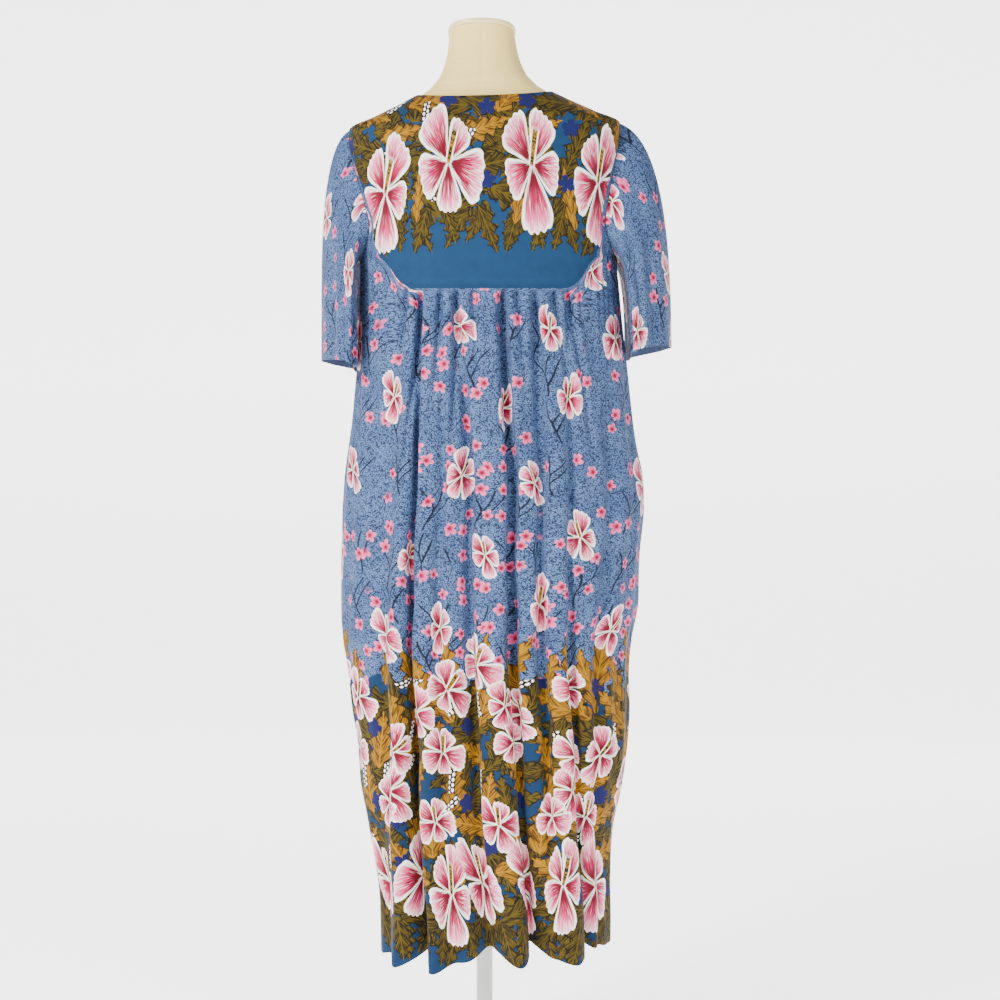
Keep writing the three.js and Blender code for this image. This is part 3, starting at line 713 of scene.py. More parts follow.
@dataclass
class Yoke:
    """A yoke with a U-shaped lower edge, top-stitched flat over the gathered panel."""

    cut: DressCut
    side: Side
    columns: int = 150
    rows: int = 64
    overlap: float = 1.2
    proud: float = 0.6
    pucker: float = 1.0
    pucker_length: float = 9.5
    pucker_fade: float = 11
    stitch_groove: float = 1.0
    stitch_rows: Pair = (4.0, 8.5)
    groove_half_width: float = 1.3
    sway_high: float = 0.5
    rolled_edge: float = 7

    def cloth(self) -> Cloth:
        """The yoke's cloth: proud of the panel, puckered at its stitches and rolled at the neck."""
        cut, side = self.cut, self.side
        across = columns_of(self.columns)
        bottom = cut.yoke_seam_z(np.abs(across)) - self.overlap
        top, _ = cut.neckline(side, across)
        z = bottom + (top - bottom) * np.linspace(0, 1, self.rows + 1)
        across = np.broadcast_to(across, z.shape)
        points = cut.inside(side, across, z)
        normals = cut.directions(side, points, across, z)
        level = cut.level_run(side, across, z)
        above, under_neck = z - bottom, top - z
        pucker = wave(level, self.pucker_length, (1.4, level / 13))
        pucker = pucker * np.exp(-above / self.pucker_fade) * ramp(above, 1, 4)
        sway = np.sin(level / 19 + 1.1 * np.sin(z / 33)) * ramp(above, 8, 60) * ramp(under_neck, 10, 60)
        rows = (above - self.overlap - row for row in self.stitch_rows)
        groove = sum(bell(off, self.groove_half_width) for off in rows)
        rolled = 1 - ramp(under_neck, self.rolled_edge, self.rolled_edge + 2)
        still = cut.stillness(across)
        relief = self.pucker * pucker - self.stitch_groove * groove + self.sway_high * (sway + rolled)
        out = self.proud + relief * still
        outer = points + normals * (WALL + out)[..., None]
        run = np.stack([level, z], axis=-1)
        return Cloth(cut.tilted(outer), cut.directions(side, outer, across, z), run)


@dataclass
class Sleeve:
    """A short, loose, set-in sleeve: curves from the armhole down to a flat oval hem.

    Attributes:
        name: Node that it replaces.
        side: -1 for the left one and 1 for the right one.
        outer: How far out the hem's outer end is, and inner its inner end.
        outer_z: Height of the hem's outer end, and inner_z of its inner end.
        cap_out: How far the curves lead on from the armhole's top, falling by cap_drop for each unit out.
        folds: Turn, half width and depth of each fold.
    """

    cut: DressCut
    name: str
    side: int
    outer: float
    inner: float
    outer_z: float
    inner_z: float
    cap_out: float
    cap_drop: float
    folds: tuple[tuple[float, float, float], ...]
    levels: tuple[float, ...] = (1470, 1438, 1400, 1355, 1312, 1284, 1269, 1262)
    depth: float = 92
    bend: float = 24
    lead_back: float = 34
    lead_under: float = 20
    hang: float = 0.5
    drop: float = 0.65
    ease: float = 1.5
    ease_height: float = 110
    print_start: float = 260
    gather_waves: float = 38
    gather_fade: float = 0.09
    sway_waves: float = 8
    sway_high: float = 1.2
    hem_roll: float = 0.4
    around: int = 168
    rows: int = 72

    @property
    def ring_share(self) -> Grid:
        """Share of the way round from the shoulder by the back, with the seam under the arm."""
        return (np.arange(self.around) / self.around + 0.5) % 1

    def ring(self) -> tuple[Grid, Grid]:
        """Points and directions round the armhole, down its back edge and up its front edge."""
        levels = np.array(self.levels)
        stops = np.concatenate([levels, levels[-2::-1]])
        place = self.ring_share * (len(stops) - 1)
        z = np.interp(place, np.arange(len(stops)), stops)
        sides = np.where(place <= len(levels) - 1, 0, 1)
        across = np.full_like(z, self.side)
        ease = self.ease * ramp(-z, -self.cut.underarm_z - self.ease_height, -self.cut.underarm_z)
        points, normals = [], []
        for side in (Side.BACK, Side.FRONT):
            normal = self.cut.plain_normal(side, across, z)
            points.append(self.cut.inside(side, across, z) + normal * (WALL + SEAM_GAP + ease)[:, None])
            normals.append(normal)
        pick = (sides, np.arange(self.around))
        return np.stack(points)[pick], np.stack(normals)[pick]

    def hem_points(self, angle: Grid) -> Grid:
        """Points of the hem: a flat oval, bent in where it is deepest."""
        deep, wide = rounded(np.sin(angle)), rounded(np.cos(angle))
        middle, half = (self.outer + self.inner) / 2, (self.outer - self.inner) / 2
        reach = middle + half * wide - self.bend * deep * deep
        low = self.outer_z + (self.inner_z - self.outer_z) * (1 - np.cos(angle)) / 2
        return np.stack([self.side * reach, -self.depth * deep, low], axis=-1)

    def curves(self, angle: Grid, t: Grid) -> Grid:
        """Points on cubic curves from the ring to the hem.

        Each curve leads away from the ring along its direction, drawn down by drop, or near the shoulder
        along the cap. It comes down to the hem from straight above.

        Args:
            angle: Turn of each curve round the sleeve, from the shoulder.
            t: Share of the way along each curve.

        Returns:
            Points, round the sleeve along the first axis and down it along the second.
        """
        start, normals = self.ring()
        end = self.hem_points(angle)
        cap = unit(np.array([self.side, 0, -self.cap_drop])) * self.cap_out
        lead = self.lead_under + (self.lead_back - self.lead_under) * np.abs(np.sin(angle))
        over = (np.maximum(np.cos(angle), 0) ** 2)[:, None]
        toward = unit(normals + [0, 0, -self.drop]) * lead[:, None] * (1 - over) + cap * over
        hang = (start - end) * [0, 0, self.hang]
        t = t[None, :, None]
        line = [part[:, None, :] for part in (start, start + toward, end + hang, end)]
        weights = ((1 - t) ** 3, 3 * (1 - t) ** 2 * t, 3 * (1 - t) * t * t, t**3)
        return sum(weight * part for weight, part in zip(weights, line))

    def relief(self, turn: Grid, t: Grid) -> Grid:
        """How far out of the curves the cloth lies: folds, gathers at the cap, slow sway and the hem."""
        pushed = sum(deep * bell(turn - at, width) for at, width, deep in self.folds)
        gathers = np.sin(turn * self.gather_waves + 1.5 * np.sin(turn * 13)) * np.maximum(np.cos(turn), 0)
        gathers = gathers * np.exp(-t / self.gather_fade) * ramp(t, 0, 0.04)
        sway = np.sin(turn * self.sway_waves + 2 * t + 1.4 * np.sin(turn * 3)) * ramp(t, 0.1, 0.6)
        hem_roll = self.hem_roll * ramp(t, 0.955, 0.965)
        return gathers - pushed * ramp(t, 0, 1) + self.sway_high * sway + hem_roll

    def cloth(self) -> Cloth:
        """The sleeve's cloth: the curves with their relief, and the wall's thickness further out."""
        angle, t = 2 * np.pi * self.ring_share, np.linspace(0, 1, self.rows + 1)
        points = self.curves(angle, t)
        flat = grid_normals(points, points.mean(axis=0), closed=True)
        points = points + flat * self.relief(angle[:, None], t[None, :])[..., None]
        normals = grid_normals(points, points.mean(axis=0), closed=True)
        outer = points + normals * WALL
        loop = looped(outer)
        around = np.linalg.norm(np.diff(loop, axis=0), axis=-1)
        run = np.concatenate([np.zeros((1, self.rows + 1)), np.cumsum(around, axis=0)])
        run = (run - run[-1] / 2) * -self.side + self.print_start * self.side
        return Cloth(self.cut.tilted(outer), normals, np.stack([run, loop[..., 2]], axis=-1), closed=True)


@dataclass
class PaddedForm:
    """The dress form's body: padded, covered in linen, with no arms, and cut flat at its bottom."""

    cut: DressCut
    sections: Sections = field(
        default_factory=lambda: Sections(
            (
                (836, 158, 108, 104, 0),
                (880, 170, 118, 110, 0),
                (930, 173, 120, 110, 0),
                (990, 163, 108, 104, 0),
                (1060, 139, 90, 96, 0),
                (1130, 124, 82, 94, 0),
                (1200, 136, 88, 108, 0),
                (1270, 154, 98, 124, 0),
                (1330, 166, 104, 122, 0),
                (1390, 176, 102, 104, 0),
                (1436, 183, 90, 90, 0),
                (1462, 180, 82, 82, 0),
                (1476, 171, 77, 77, 0),
                (1488, 158, 71, 71, 0),
                (1502, 138.4, 66, 68, 0),
                (1519, 102, 62, 65, 0),
                (1533, 82, 61, 66, -1),
                (1554, 65, 55, 61, -2),
                (1588, 54, 47, 58, -3),
                (1616, 50.5, 43, 58, -4),
            )
        )
    )
    bottom_z: float = 836
    top_z: float = 1616
    around: int = 176
    rows: int = 200
    neck_tilt: float = 0.15
    neck_tilt_start_z: float = 1540
    neck_seam_z: float = 1531
    bottom_round: float = 5

    def ring(self, z: Grid, out: Grid | float = 0, lift: float = 0) -> Grid:
        """Level rings of the form, grown by out, and tilted forward near the neck.

        Args:
            z: Heights, along the second axis.
            out: How far the rings are grown.
            lift: How far the rings are lifted.

        Returns:
            Points: round the form along the first axis, from the middle of the back to the right.
        """
        turn = (4 * np.arange(self.around) / self.around)[:, None]
        at_back = (turn <= 1) | (turn > 3)
        share = np.where(at_back, np.where(turn > 3, turn - 4, turn), 2 - turn)
        points = [self.sections.point(side, share, z, out) for side in (Side.BACK, Side.FRONT)]
        point = np.where(np.broadcast_to(at_back, points[0].shape[:2])[..., None], *points)
        tilt = self.neck_tilt * ramp(z, self.neck_tilt_start_z, self.top_z)
        point[..., 2] += lift - tilt * point[..., 1]
        return point

    def relief(self, z: Grid) -> Grid:
        """Seams of the cover: a level seam under the neck, and a gathered one up the neck's back."""
        turn = (4 * np.arange(self.around) / self.around)[:, None]
        off = np.minimum(turn, 4 - turn) * 60
        on_neck = ramp(z, self.neck_seam_z, self.neck_seam_z + 3)
        level = 1.1 * bell(z - self.neck_seam_z, 1.5)
        gathered = 0.45 * np.sin(z * 1.05) * bell(off, 6)
        middle = (0.9 * bell(off, 1.6) - gathered) * on_neck
        ease = 0.25 * np.sin(turn * 33 + np.sin(turn * 9)) * np.exp(-np.abs(z - self.neck_seam_z) / 7)
        return ease - level - middle

    def build(self) -> Object:
        """The closed body, with its bottom edge rounded."""
        rows = self.bottom_z + (self.top_z - self.bottom_z) * np.linspace(0, 1, self.rows + 1) ** 0.8
        z = np.concatenate([[self.bottom_z], rows])[None, :]
        out = self.relief(z) - self.bottom_round * (1 - ramp(z, self.bottom_z, self.bottom_z + 8))
        out[:, 0] -= 3
        return loft("form_body_cover", self.cut.tilted(self.ring(z, out)))


def loft(name: str, rings: Grid) -> Object:
    """A closed body through rings, with a fan of triangles at each end.

    Args:
        name: Name of the object.
        rings: Points, round the body along the first axis and up it along the second.

    Returns:
        The object, with its faces pointing out.
    """
    around, tall = rings.shape[:2]
    k, row = (part.ravel() for part in np.meshgrid(np.arange(around), np.arange(tall - 1), indexing="ij"))
    here, beside = k * tall + row, (k + 1) % around * tall + row
    quads = np.stack([here, beside, beside + 1, here + 1], axis=-1)
    first = np.arange(around)
    after = (first + 1) % around
    low, high = around * tall, around * tall + 1
    bottom = np.stack([np.full(around, low), after * tall, first * tall], axis=-1)
    top = np.stack([np.full(around, high), first * tall + tall - 1, after * tall + tall - 1], axis=-1)
    centers = rings[:, [0, -1]].mean(axis=0)
    points = np.concatenate([rings.reshape(-1, 3), centers])
    triangles = np.concatenate([quads[:, [0, 1, 2]], quads[:, [0, 2, 3]], bottom, top])
    a, b, c = (points[triangles[:, n]] for n in range(3))
    if np.sum(a * np.cross(b, c)) < 0:
        triangles = triangles[:, ::-1]
    return mesh_object(name, points, triangles)


@dataclass
class NeckCap:
    """The satin cap on the neck: a disc with a rounded edge and a low dome."""

    form: PaddedForm
    thickness: float = 9
    dome: float = 5
    edge: float = 4
    margin: float = 2
    rows: int = 14

    def build(self) -> Object:
        """The cap: rings up its rounded edge, then rings that shrink towards its middle."""
        top = self.form.top_z
        turn = np.linspace(0, np.pi / 2, 6)
        edge_out = self.margin - self.edge * (1 - np.cos(turn))
        edge_lift = self.thickness - self.edge * (1 - np.sin(turn))
        outs = np.concatenate([[-1, 1.4, self.margin], edge_out])
        lifts = np.concatenate([[SEAM_GAP, 1.1, 2], edge_lift])
        rings = [self.form.ring(np.array([[top]]), out, lift) for out, lift in zip(outs, lifts)]
        rim = rings[-1]
        center = rim.mean(axis=0, keepdims=True)
        for scale in np.linspace(0.94, 0.06, self.rows):
            rise = np.array([0, 0, self.dome * (1 - scale * scale)])
            rings.append(center + (rim - center) * scale + rise)
        return loft("form_neck_cap_cover", self.form.cut.tilted(np.concatenate(rings, axis=1)))


@dataclass(frozen=True)
class Dye:
    """A colour as it looks on a screen, each part from 0 to 255, deepened for the bright studio light."""

    red: float
    green: float
    blue: float

    @property
    def linear(self) -> tuple[float, float, float, float]:
        """The colour as light, with an alpha of 1."""
        parts = np.array([self.red, self.green, self.blue]) / 255
        light = np.where(parts <= 0.04045, parts / 12.92, ((parts + 0.055) / 1.055) ** 2.4)
        return (*(float(part) for part in light**DYE_DEPTH), 1.0)


@dataclass(frozen=True)
class Palette:
    """Dyes of the two prints and the form."""

    periwinkle: Dye = Dye(112, 134, 172)
    pale_periwinkle: Dye = Dye(124, 146, 182)
    navy: Dye = Dye(22, 28, 60)
    blossom: Dye = Dye(226, 104, 150)
    blossom_heart: Dye = Dye(160, 8, 74)
    blossom_edge: Dye = Dye(244, 170, 198)
    stem: Dye = Dye(14, 14, 22)
    border_blue: Dye = Dye(32, 78, 112)
    light_blue: Dye = Dye(42, 92, 126)
    crimson: Dye = Dye(132, 0, 54)
    pink: Dye = Dye(214, 58, 122)
    pale_pink: Dye = Dye(240, 136, 176)
    white: Dye = Dye(255, 250, 244)
    olive: Dye = Dye(58, 50, 6)
    dark_olive: Dye = Dye(14, 13, 2)
    light_olive: Dye = Dye(118, 102, 22)
    mustard: Dye = Dye(136, 98, 0)
    dark_mustard: Dye = Dye(48, 30, 0)
    light_mustard: Dye = Dye(182, 144, 0)
    indigo: Dye = Dye(50, 56, 126)
    night: Dye = Dye(22, 20, 30)
    wrong_side: Dye = Dye(150, 160, 182)


class Wire:
    """A value, vector or colour in a node tree. Arithmetic on it adds Math nodes."""

    def __init__(self, tree: Tree, socket: bpy.types.NodeSocket) -> None:
        """Keeps the tree and the socket that the value comes from."""
        self.tree = tree
        self.socket = socket

    def math(self, operation: str, *others: "Wire | float") -> "Wire":
        """This value and others through a Math node."""
        node = self.tree.nodes.new("ShaderNodeMath")
        node.operation = operation
        for slot, value in zip(node.inputs, (self, *others)):
            feed(self.tree, slot, value)
        return Wire(self.tree, node.outputs[0])

    def __add__(self, other: "Wire | float") -> "Wire":
        """Sum."""
        return self.math("ADD", other)

    def __sub__(self, other: "Wire | float") -> "Wire":
        """Difference."""
        return self.math("SUBTRACT", other)

    def __rsub__(self, other: float) -> "Wire":
        """A number less this."""
        return self.math("MULTIPLY", -1.0).math("ADD", other)

    def __mul__(self, other: "Wire | float") -> "Wire":
        """Product."""
        return self.math("MULTIPLY", other)

    def __truediv__(self, other: "Wire | float") -> "Wire":
        """Quotient."""
        return self.math("DIVIDE", other)

    __radd__ = __add__
    __rmul__ = __mul__

    def size(self) -> "Wire":
        """Its size without its sign."""
        return self.math("ABSOLUTE")

    def sine(self) -> "Wire":
        """Sine."""
        return self.math("SINE")

    def cosine(self) -> "Wire":
        """Cosine."""
        return self.math("COSINE")

    def root(self) -> "Wire":
        """Square root."""
        return self.math("SQRT")

    def fraction(self) -> "Wire":
        """What is over the next lower whole number."""
        return self.math("FRACT")

    def at_least(self, other: "Wire | float") -> "Wire":
        """The greater of the two."""
        return self.math("MAXIMUM", other)

    def at_most(self, other: "Wire | float") -> "Wire":
        """The smaller of the two."""
        return self.math("MINIMUM", other)

    def to_the(self, power: float) -> "Wire":
        """This to a power."""
        return self.math("POWER", power)

    def rise(self, start: float, end: float) -> "Wire":
        """0 below start, 1 above end and smooth between."""
        node = self.tree.nodes.new("ShaderNodeMapRange")
        node.interpolation_type = "SMOOTHSTEP"
        feed(self.tree, node.inputs["Value"], self)
        node.inputs["From Min"].default_value = start
        node.inputs["From Max"].default_value = end
        return Wire(self.tree, node.outputs["Result"])

    def fall(self, start: float, end: float) -> "Wire":
        """1 below start, 0 above end and smooth between."""
        return 1 - self.rise(start, end)

    def parts(self) -> list["Wire"]:
        """x, y and z of a vector."""
        node = self.tree.nodes.new("ShaderNodeSeparateXYZ")
        feed(self.tree, node.inputs[0], self)
        return [Wire(self.tree, output) for output in node.outputs]


def feed(tree: Tree, slot: bpy.types.NodeSocket, value: object) -> None:
    """Links a wire to an input, or sets the input to a number, colour or vector."""
    if isinstance(value, Wire):
        tree.links.new(value.socket, slot)
    elif isinstance(value, Dye):
        slot.default_value = value.linear
    else:
        slot.default_value = value


def vector(x: Wire, y: Wire, z: Wire | float = 0.0) -> Wire:
    """A vector from three values."""
    node = x.tree.nodes.new("ShaderNodeCombineXYZ")
    for slot, value in zip(node.inputs, (x, y, z)):
        feed(x.tree, slot, value)
    return Wire(x.tree, node.outputs[0])


def polar(x: Wire, y: Wire) -> tuple[Wire, Wire]:
    """Distance and turn of a place from the middle."""
    return (x * x + y * y).root(), y.math("ARCTAN2", x)


def five_petals(turn: Wire, chance: Wire, sharpness: float) -> Wire:
    """Reach of five petals: |cos(2.5 turn + 6 chance)| to the power sharpness."""
    return (turn * 2.5 + chance * 6).cosine().size().to_the(sharpness)


def mix(share: Wire | float, low: Wire | Dye, high: Wire | Dye) -> Wire:
    """A colour between two: low where share is 0 and high where it is 1."""
    tree = next(part.tree for part in (share, low, high) if isinstance(part, Wire))
    node = tree.nodes.new("ShaderNodeMix")
    node.data_type = "RGBA"
    feed(tree, node.inputs[0], share)
    feed(tree, node.inputs[6], low)
    feed(tree, node.inputs[7], high)
    return Wire(tree, node.outputs[2])


def noise(place: Wire, scale: float, detail: float = 1.0, distortion: float = 0.0) -> Wire:
    """Smooth noise from 0 to 1 with scale features in each unit, bent by a distortion."""
    node = place.tree.nodes.new("ShaderNodeTexNoise")
    feed(place.tree, node.inputs["Vector"], place)
    node.inputs["Distortion"].default_value = distortion
    node.inputs["Scale"].default_value = scale
    node.inputs["Detail"].default_value = detail
    return Wire(place.tree, node.outputs[0])


def cells(place: Wire, scale: float, scatter: float) -> tuple[Wire, Wire, Wire, Wire]:
    """Scattered cells on the cloth.

    Args:
        place: Place on the cloth in metres.
        scale: Cells in each metre.
        scatter: How far the cells' middles stray from a square lattice.

    Returns:
        Place from the nearest cell's middle across and up in metres, and two chance values of the cell.
    """
    tree = place.tree
    node = tree.nodes.new("ShaderNodeTexVoronoi")
    node.voronoi_dimensions = "2D"
    feed(tree, node.inputs["Vector"], place)
    node.inputs["Scale"].default_value = scale
    node.inputs["Randomness"].default_value = scatter
    x, y, _ = place.parts()
    middle_x, middle_y, _ = Wire(tree, node.outputs["Position"]).parts()
    chance, other, _ = Wire(tree, node.outputs["Color"]).parts()
    return x - middle_x, y - middle_y, chance, other


class Group:
    """A shader node group with named inputs, "Place" among them, and one output."""

    def __init__(self, name: str, takes: tuple[str, ...] = (), gives: str = "Color") -> None:
        """Makes the group and its sockets: a place, the titles of colours that it takes, and its output."""
        self.tree = bpy.data.node_groups.new(name, "ShaderNodeTree")
        self.gives = gives
        for title in takes:
            self.tree.interface.new_socket(title, in_out="INPUT", socket_type="NodeSocketColor")
        self.tree.interface.new_socket("Place", in_out="INPUT", socket_type="NodeSocketVector")
        kind = "NodeSocketColor" if gives == "Color" else "NodeSocketFloat"
        self.tree.interface.new_socket(gives, in_out="OUTPUT", socket_type=kind)
        self.entry = self.tree.nodes.new("NodeGroupInput")
        self.exit = self.tree.nodes.new("NodeGroupOutput")

    def taken(self, title: str) -> Wire:
        """An input of the group, inside it."""
        return Wire(self.tree, self.entry.outputs[title])

    def give(self, wire: Wire) -> "Group":
        """The group, with a wire linked to its output."""
        self.tree.links.new(wire.socket, self.exit.inputs[self.gives])
        return self

    def placed(self, place: Wire, **values: Wire | Dye) -> Wire:
        """The group in the tree of its place.

        Args:
            place: Place on the cloth or on a motif.
            values: What its other inputs are fed.

        Returns:
            The group's output.
        """
        node = place.tree.nodes.new("ShaderNodeGroup")
        node.node_tree = self.tree
        for title, value in (values | {"Place": place}).items():
            feed(place.tree, node.inputs[title], value)
        return Wire(place.tree, node.outputs[0])


@dataclass
class Prints:
    """The node groups that draw the cloths' prints, each from a place on the cloth or on a motif."""

    dyes: Palette = Palette()
    squiggle_scale: float = 310
    cloud_scale: float = 22
    stem_scale: float = 11.5
    blossom_scales: tuple[Pair, ...] = ((23, 0.0), (29, 3.7))
    trinket_scale: float = 17
    bead_pitch: float = 0.0078
    threads: float = 900
    thread_run: float = 60

    @cached_property
    def squiggles(self) -> Group:
        """A pale ground covered with fine dark squiggles: lines where a noise is near its middle."""
        group = Group("squiggle_ground")
        place = group.taken("Place")
        fine = noise(place, self.squiggle_scale, 0.5, 0.5)
        coarse = noise(place, self.cloud_scale, 1)
        line = (fine - 0.5).size().fall(0.035, 0.11)
        cloud = mix(coarse.rise(0.3, 0.7), self.dyes.periwinkle, self.dyes.pale_periwinkle)
        return group.give(mix(line * 0.86, cloud, self.dyes.navy))

    @cached_property
    def blossoms(self) -> Group:
        """Small five-petalled blossoms on thin curved stems, one to a cell of the cloth."""
        group = Group("small_blossoms", takes=("Under",))
        place, color = group.taken("Place"), group.taken("Under")
        crowded = place.parts()[1].fall(0.72, 0.95)
        x, y, chance, other = cells(place, self.stem_scale, 0.8)
        bend = (y * 60 + other * 6).sine() * 0.008
        trunk = (x - bend).size()
        fork = (trunk - (y * 0.55).at_least(0.0)).size()
        twig = (x - bend - (y + 0.014).at_least(0.0) * 0.8).size()
        nearest = (trunk + y.rise(0.0, 0.003)).at_most(fork).at_most(twig)
        line = nearest.fall(0.0010, 0.0019)
        shown = (chance + crowded * 0.35).rise(0.25, 0.27) * y.size().fall(0.028, 0.034)
        color = mix(line * shown * 0.9, color, self.dyes.stem)
        for scale, offset in self.blossom_scales:
            moved = vector(place.parts()[0] + offset, place.parts()[1])
            x, y, chance, other = cells(moved, scale, 0.9)
            shown = (chance + crowded * 0.28).rise(0.72, 0.74)
            radius, turn = polar(x, y)
            uneven = (turn + other * 19).sine() * 0.22 + 0.95
            reach = (five_petals(turn, other, 0.6) * 0.7 + 0.3) * (other * 0.003 + 0.0086) * uneven
            inside = (radius / reach).fall(0.88, 1.08)
            tone = mix(radius.rise(0.001, 0.006), self.dyes.blossom_heart, self.dyes.blossom)
            tone = mix((radius / reach).rise(0.4, 0.95) * 0.5, tone, self.dyes.blossom_edge)
            color = mix(inside * shown, color, tone)
        return group.give(color)

    @cached_property
    def hibiscus(self) -> Group:
        """A hibiscus: five ruffled petals, crimson at the throat, veined pink, white along their edges.

        Each petal is a sector of 72 degrees. With u along its middle and v across it, its half width is
        0.64 u^0.95 sqrt(1 - u^6), and the edge distance is what is left beside |v|.
        """
        group = Group("hibiscus", takes=("Under",))
        x, y, seed = group.taken("Place").parts()
        radius, angle = polar(x, y)
        radius = radius.at_least(0.0001)
        sector = 2 * np.pi / 5
        turn = (angle - 1.95 - seed * 0.35) / sector
        petal = turn.math("ADD", 0.5).math("FLOOR")
        off = (turn - petal) * sector
        chance = (petal.math("FLOORED_MODULO", 5.0) * 2.4 + seed * 17).sine() * 0.5 + 0.5
        length = chance * 0.3 + 0.7
        wobble = noise(vector(x, y, seed * 9), 4.2, 2) - 0.5
        u = radius * off.cosine() / length + wobble * 0.09
        v = radius * off.sine() / length
        u = u + ((v * 34 + seed * 20).sine() * 0.018) * u.rise(0.5, 0.9)
        tip = (1 - u.at_least(0.0).to_the(6.0)).at_least(0.0).root()
        edge = u.at_least(0.001).to_the(0.95) * tip * 0.64 - v.size()
        edge = edge - (u - 0.985).at_least(0.0) * 8
        streak = noise(vector(v / (u + 0.1) * 19, u * 1.4, petal * 3 + seed * 7), 1.6, 2) - 0.5
        tone = self.petal_tone(u, edge, streak)
        color = mix(edge.rise(-0.006, 0.012), group.taken("Under"), tone)
        return group.give(self.with_pistil(color, x, y, seed))

    def petal_tone(self, u: Wire, edge: Wire, streak: Wire) -> Wire:
        """A petal's colour.

        Args:
            u: Place along the petal, from its throat to its tip.
            edge: Distance from its edge.
            streak: Veins, above zero where they are dark.

        Returns:
            Crimson at the throat, then pink with dark and pale veins, and white along the edge.
        """
        dyes = self.dyes
        deep = mix((u + streak * 0.8).rise(0.2, 0.68), dyes.crimson, dyes.pink)
        deep = mix((u + streak * 0.9).rise(0.5, 0.95), deep, dyes.pale_pink)
        deep = mix(streak.rise(0.03, 0.1) * u.fall(0.55, 0.9) * 0.95, deep, dyes.crimson)
        deep = mix((0 - streak).rise(0.05, 0.16) * u.rise(0.3, 0.6) * 0.6, deep, dyes.white)
        deep = mix((u + streak * 1.3).rise(0.8, 1.06) * 0.8, deep, dyes.white)
        inner = (edge + streak * 0.16) / (u * 0.9 + 0.25)
        return mix(inner.rise(0.045, 0.16), dyes.white, deep)

    def with_pistil(self, flower: Wire, x: Wire, y: Wire, seed: Wire) -> Wire:
        """A flower's colour with its pistil: a speckled spike with a white outline, wider outwards."""
        along = x * 0.3 + y * 0.954
        across = (x * 0.954 - y * 0.3).size()
        reach = along.rise(-0.05, 0.0) * along.fall(0.5, 0.62)
        beside = across - along * 0.05
        outlined = mix(beside.fall(0.07, 0.09) * reach, flower, self.dyes.white)
        speckles = noise(vector(along, across, seed), 26, 1).rise(0.4, 0.6)
        pistil = mix(speckles, self.dyes.olive, self.dyes.light_mustard)
        return mix(beside.fall(0.038, 0.055) * reach, outlined, pistil)

    @cached_property
    def leaf(self) -> Group:
        """A shaggy leaf: base at x = -1 and tip at x = 1, with lobes cut towards the tip and veins."""
        group = Group("leaf", takes=("Under", "Tone", "Dark", "Light"))
        x, y, seed = group.taken("Place").parts()
        wobble = noise(vector(x, y, seed * 11), 3.5, 2) - 0.5
        t = (x * 0.5 + 0.5).at_least(0.0).at_most(1.0)
        side = y.size()
        lobe = (t * 4.2 - side * 0.9 + seed * 3 + y.math("SIGN") * 0.2).fraction()
        body = (t.to_the(0.7) * np.pi).sine().at_least(0.0).to_the(0.75)
        edge = body * (0.98 - lobe * 0.52) + wobble * 0.3 - side
        vein = (t * 4.2 - side * 1.7 + seed * 3).fraction() - 0.5
        streak = noise(vector(t * 14 - side * 8, side * 1.6, seed * 9), 2.4, 2)
        tone = mix(streak.rise(0.38, 0.62), group.taken("Tone"), group.taken("Light"))
        tone = mix(vein.size().fall(0.03, 0.16) * 0.75, tone, group.taken("Dark"))
        tone = mix(streak.fall(0.3, 0.45) * 0.6, tone, group.taken("Dark"))
        tone = mix(edge.fall(0.02, 0.13), tone, group.taken("Dark"))
        tone = mix(side.fall(0.02, 0.06), tone, group.taken("Light"))
        inside = edge.rise(-0.01, 0.03) * x.size().fall(0.97, 1.0)
        return group.give(mix(inside, group.taken("Under"), tone))

    @cached_property
    def trinkets(self) -> Group:
        """Small indigo florets, and short strings of white oval beads on a dark ground, one to a cell."""
        group = Group("florets_and_beads", takes=("Under",))
        x, y, chance, other = cells(group.taken("Place"), self.trinket_scale, 0.7)
        radius, angle = polar(x, y)
        reach = five_petals(angle, other, 0.5) * 0.008 + 0.005 + other * 0.002
        stripe = (angle * 19 + radius * 900).sine().rise(0.2, 0.8)
        floret = mix(stripe, self.dyes.indigo, self.dyes.night)
        inside = (radius / reach).fall(0.9, 1.1) * chance.fall(0.34, 0.36)
        color = mix(inside, group.taken("Under"), floret)
        turn = other * 1.6 - 0.3
        cosine, sine = turn.cosine(), turn.sine()
        along, across = y * cosine + x * sine, x * cosine - y * sine
        across = across + along * along * (other * 24 - 8)
        two_rows = across.size() - 0.0027
        stagger = across.math("SIGN") * 0.21
        bead_along = ((along / self.bead_pitch + stagger).fraction() - 0.5) * self.bead_pitch
        bead = ((bead_along * bead_along) / 0.0000085 + (two_rows * two_rows) / 0.0000036).root()
        string = along.size().fall(0.0175, 0.019) * chance.rise(0.62, 0.64)
        ground = across.size().fall(0.0052, 0.0066) * string
        color = mix(ground, color, self.dyes.dark_mustard)
        return group.give(mix(bead.fall(0.85, 1.1) * string, color, self.dyes.white))

    @cached_property
    def weave(self) -> Group:
        """Height of plain cotton: uneven threads both ways."""
        group = Group("weave", gives="Height")
        x, y, _ = group.taken("Place").parts()
        warp = noise(vector(x * self.threads, y * self.thread_run), 1, 2)
        weft = noise(vector(x * self.thread_run, y * self.threads), 1, 2)
        return group.give(warp + weft)


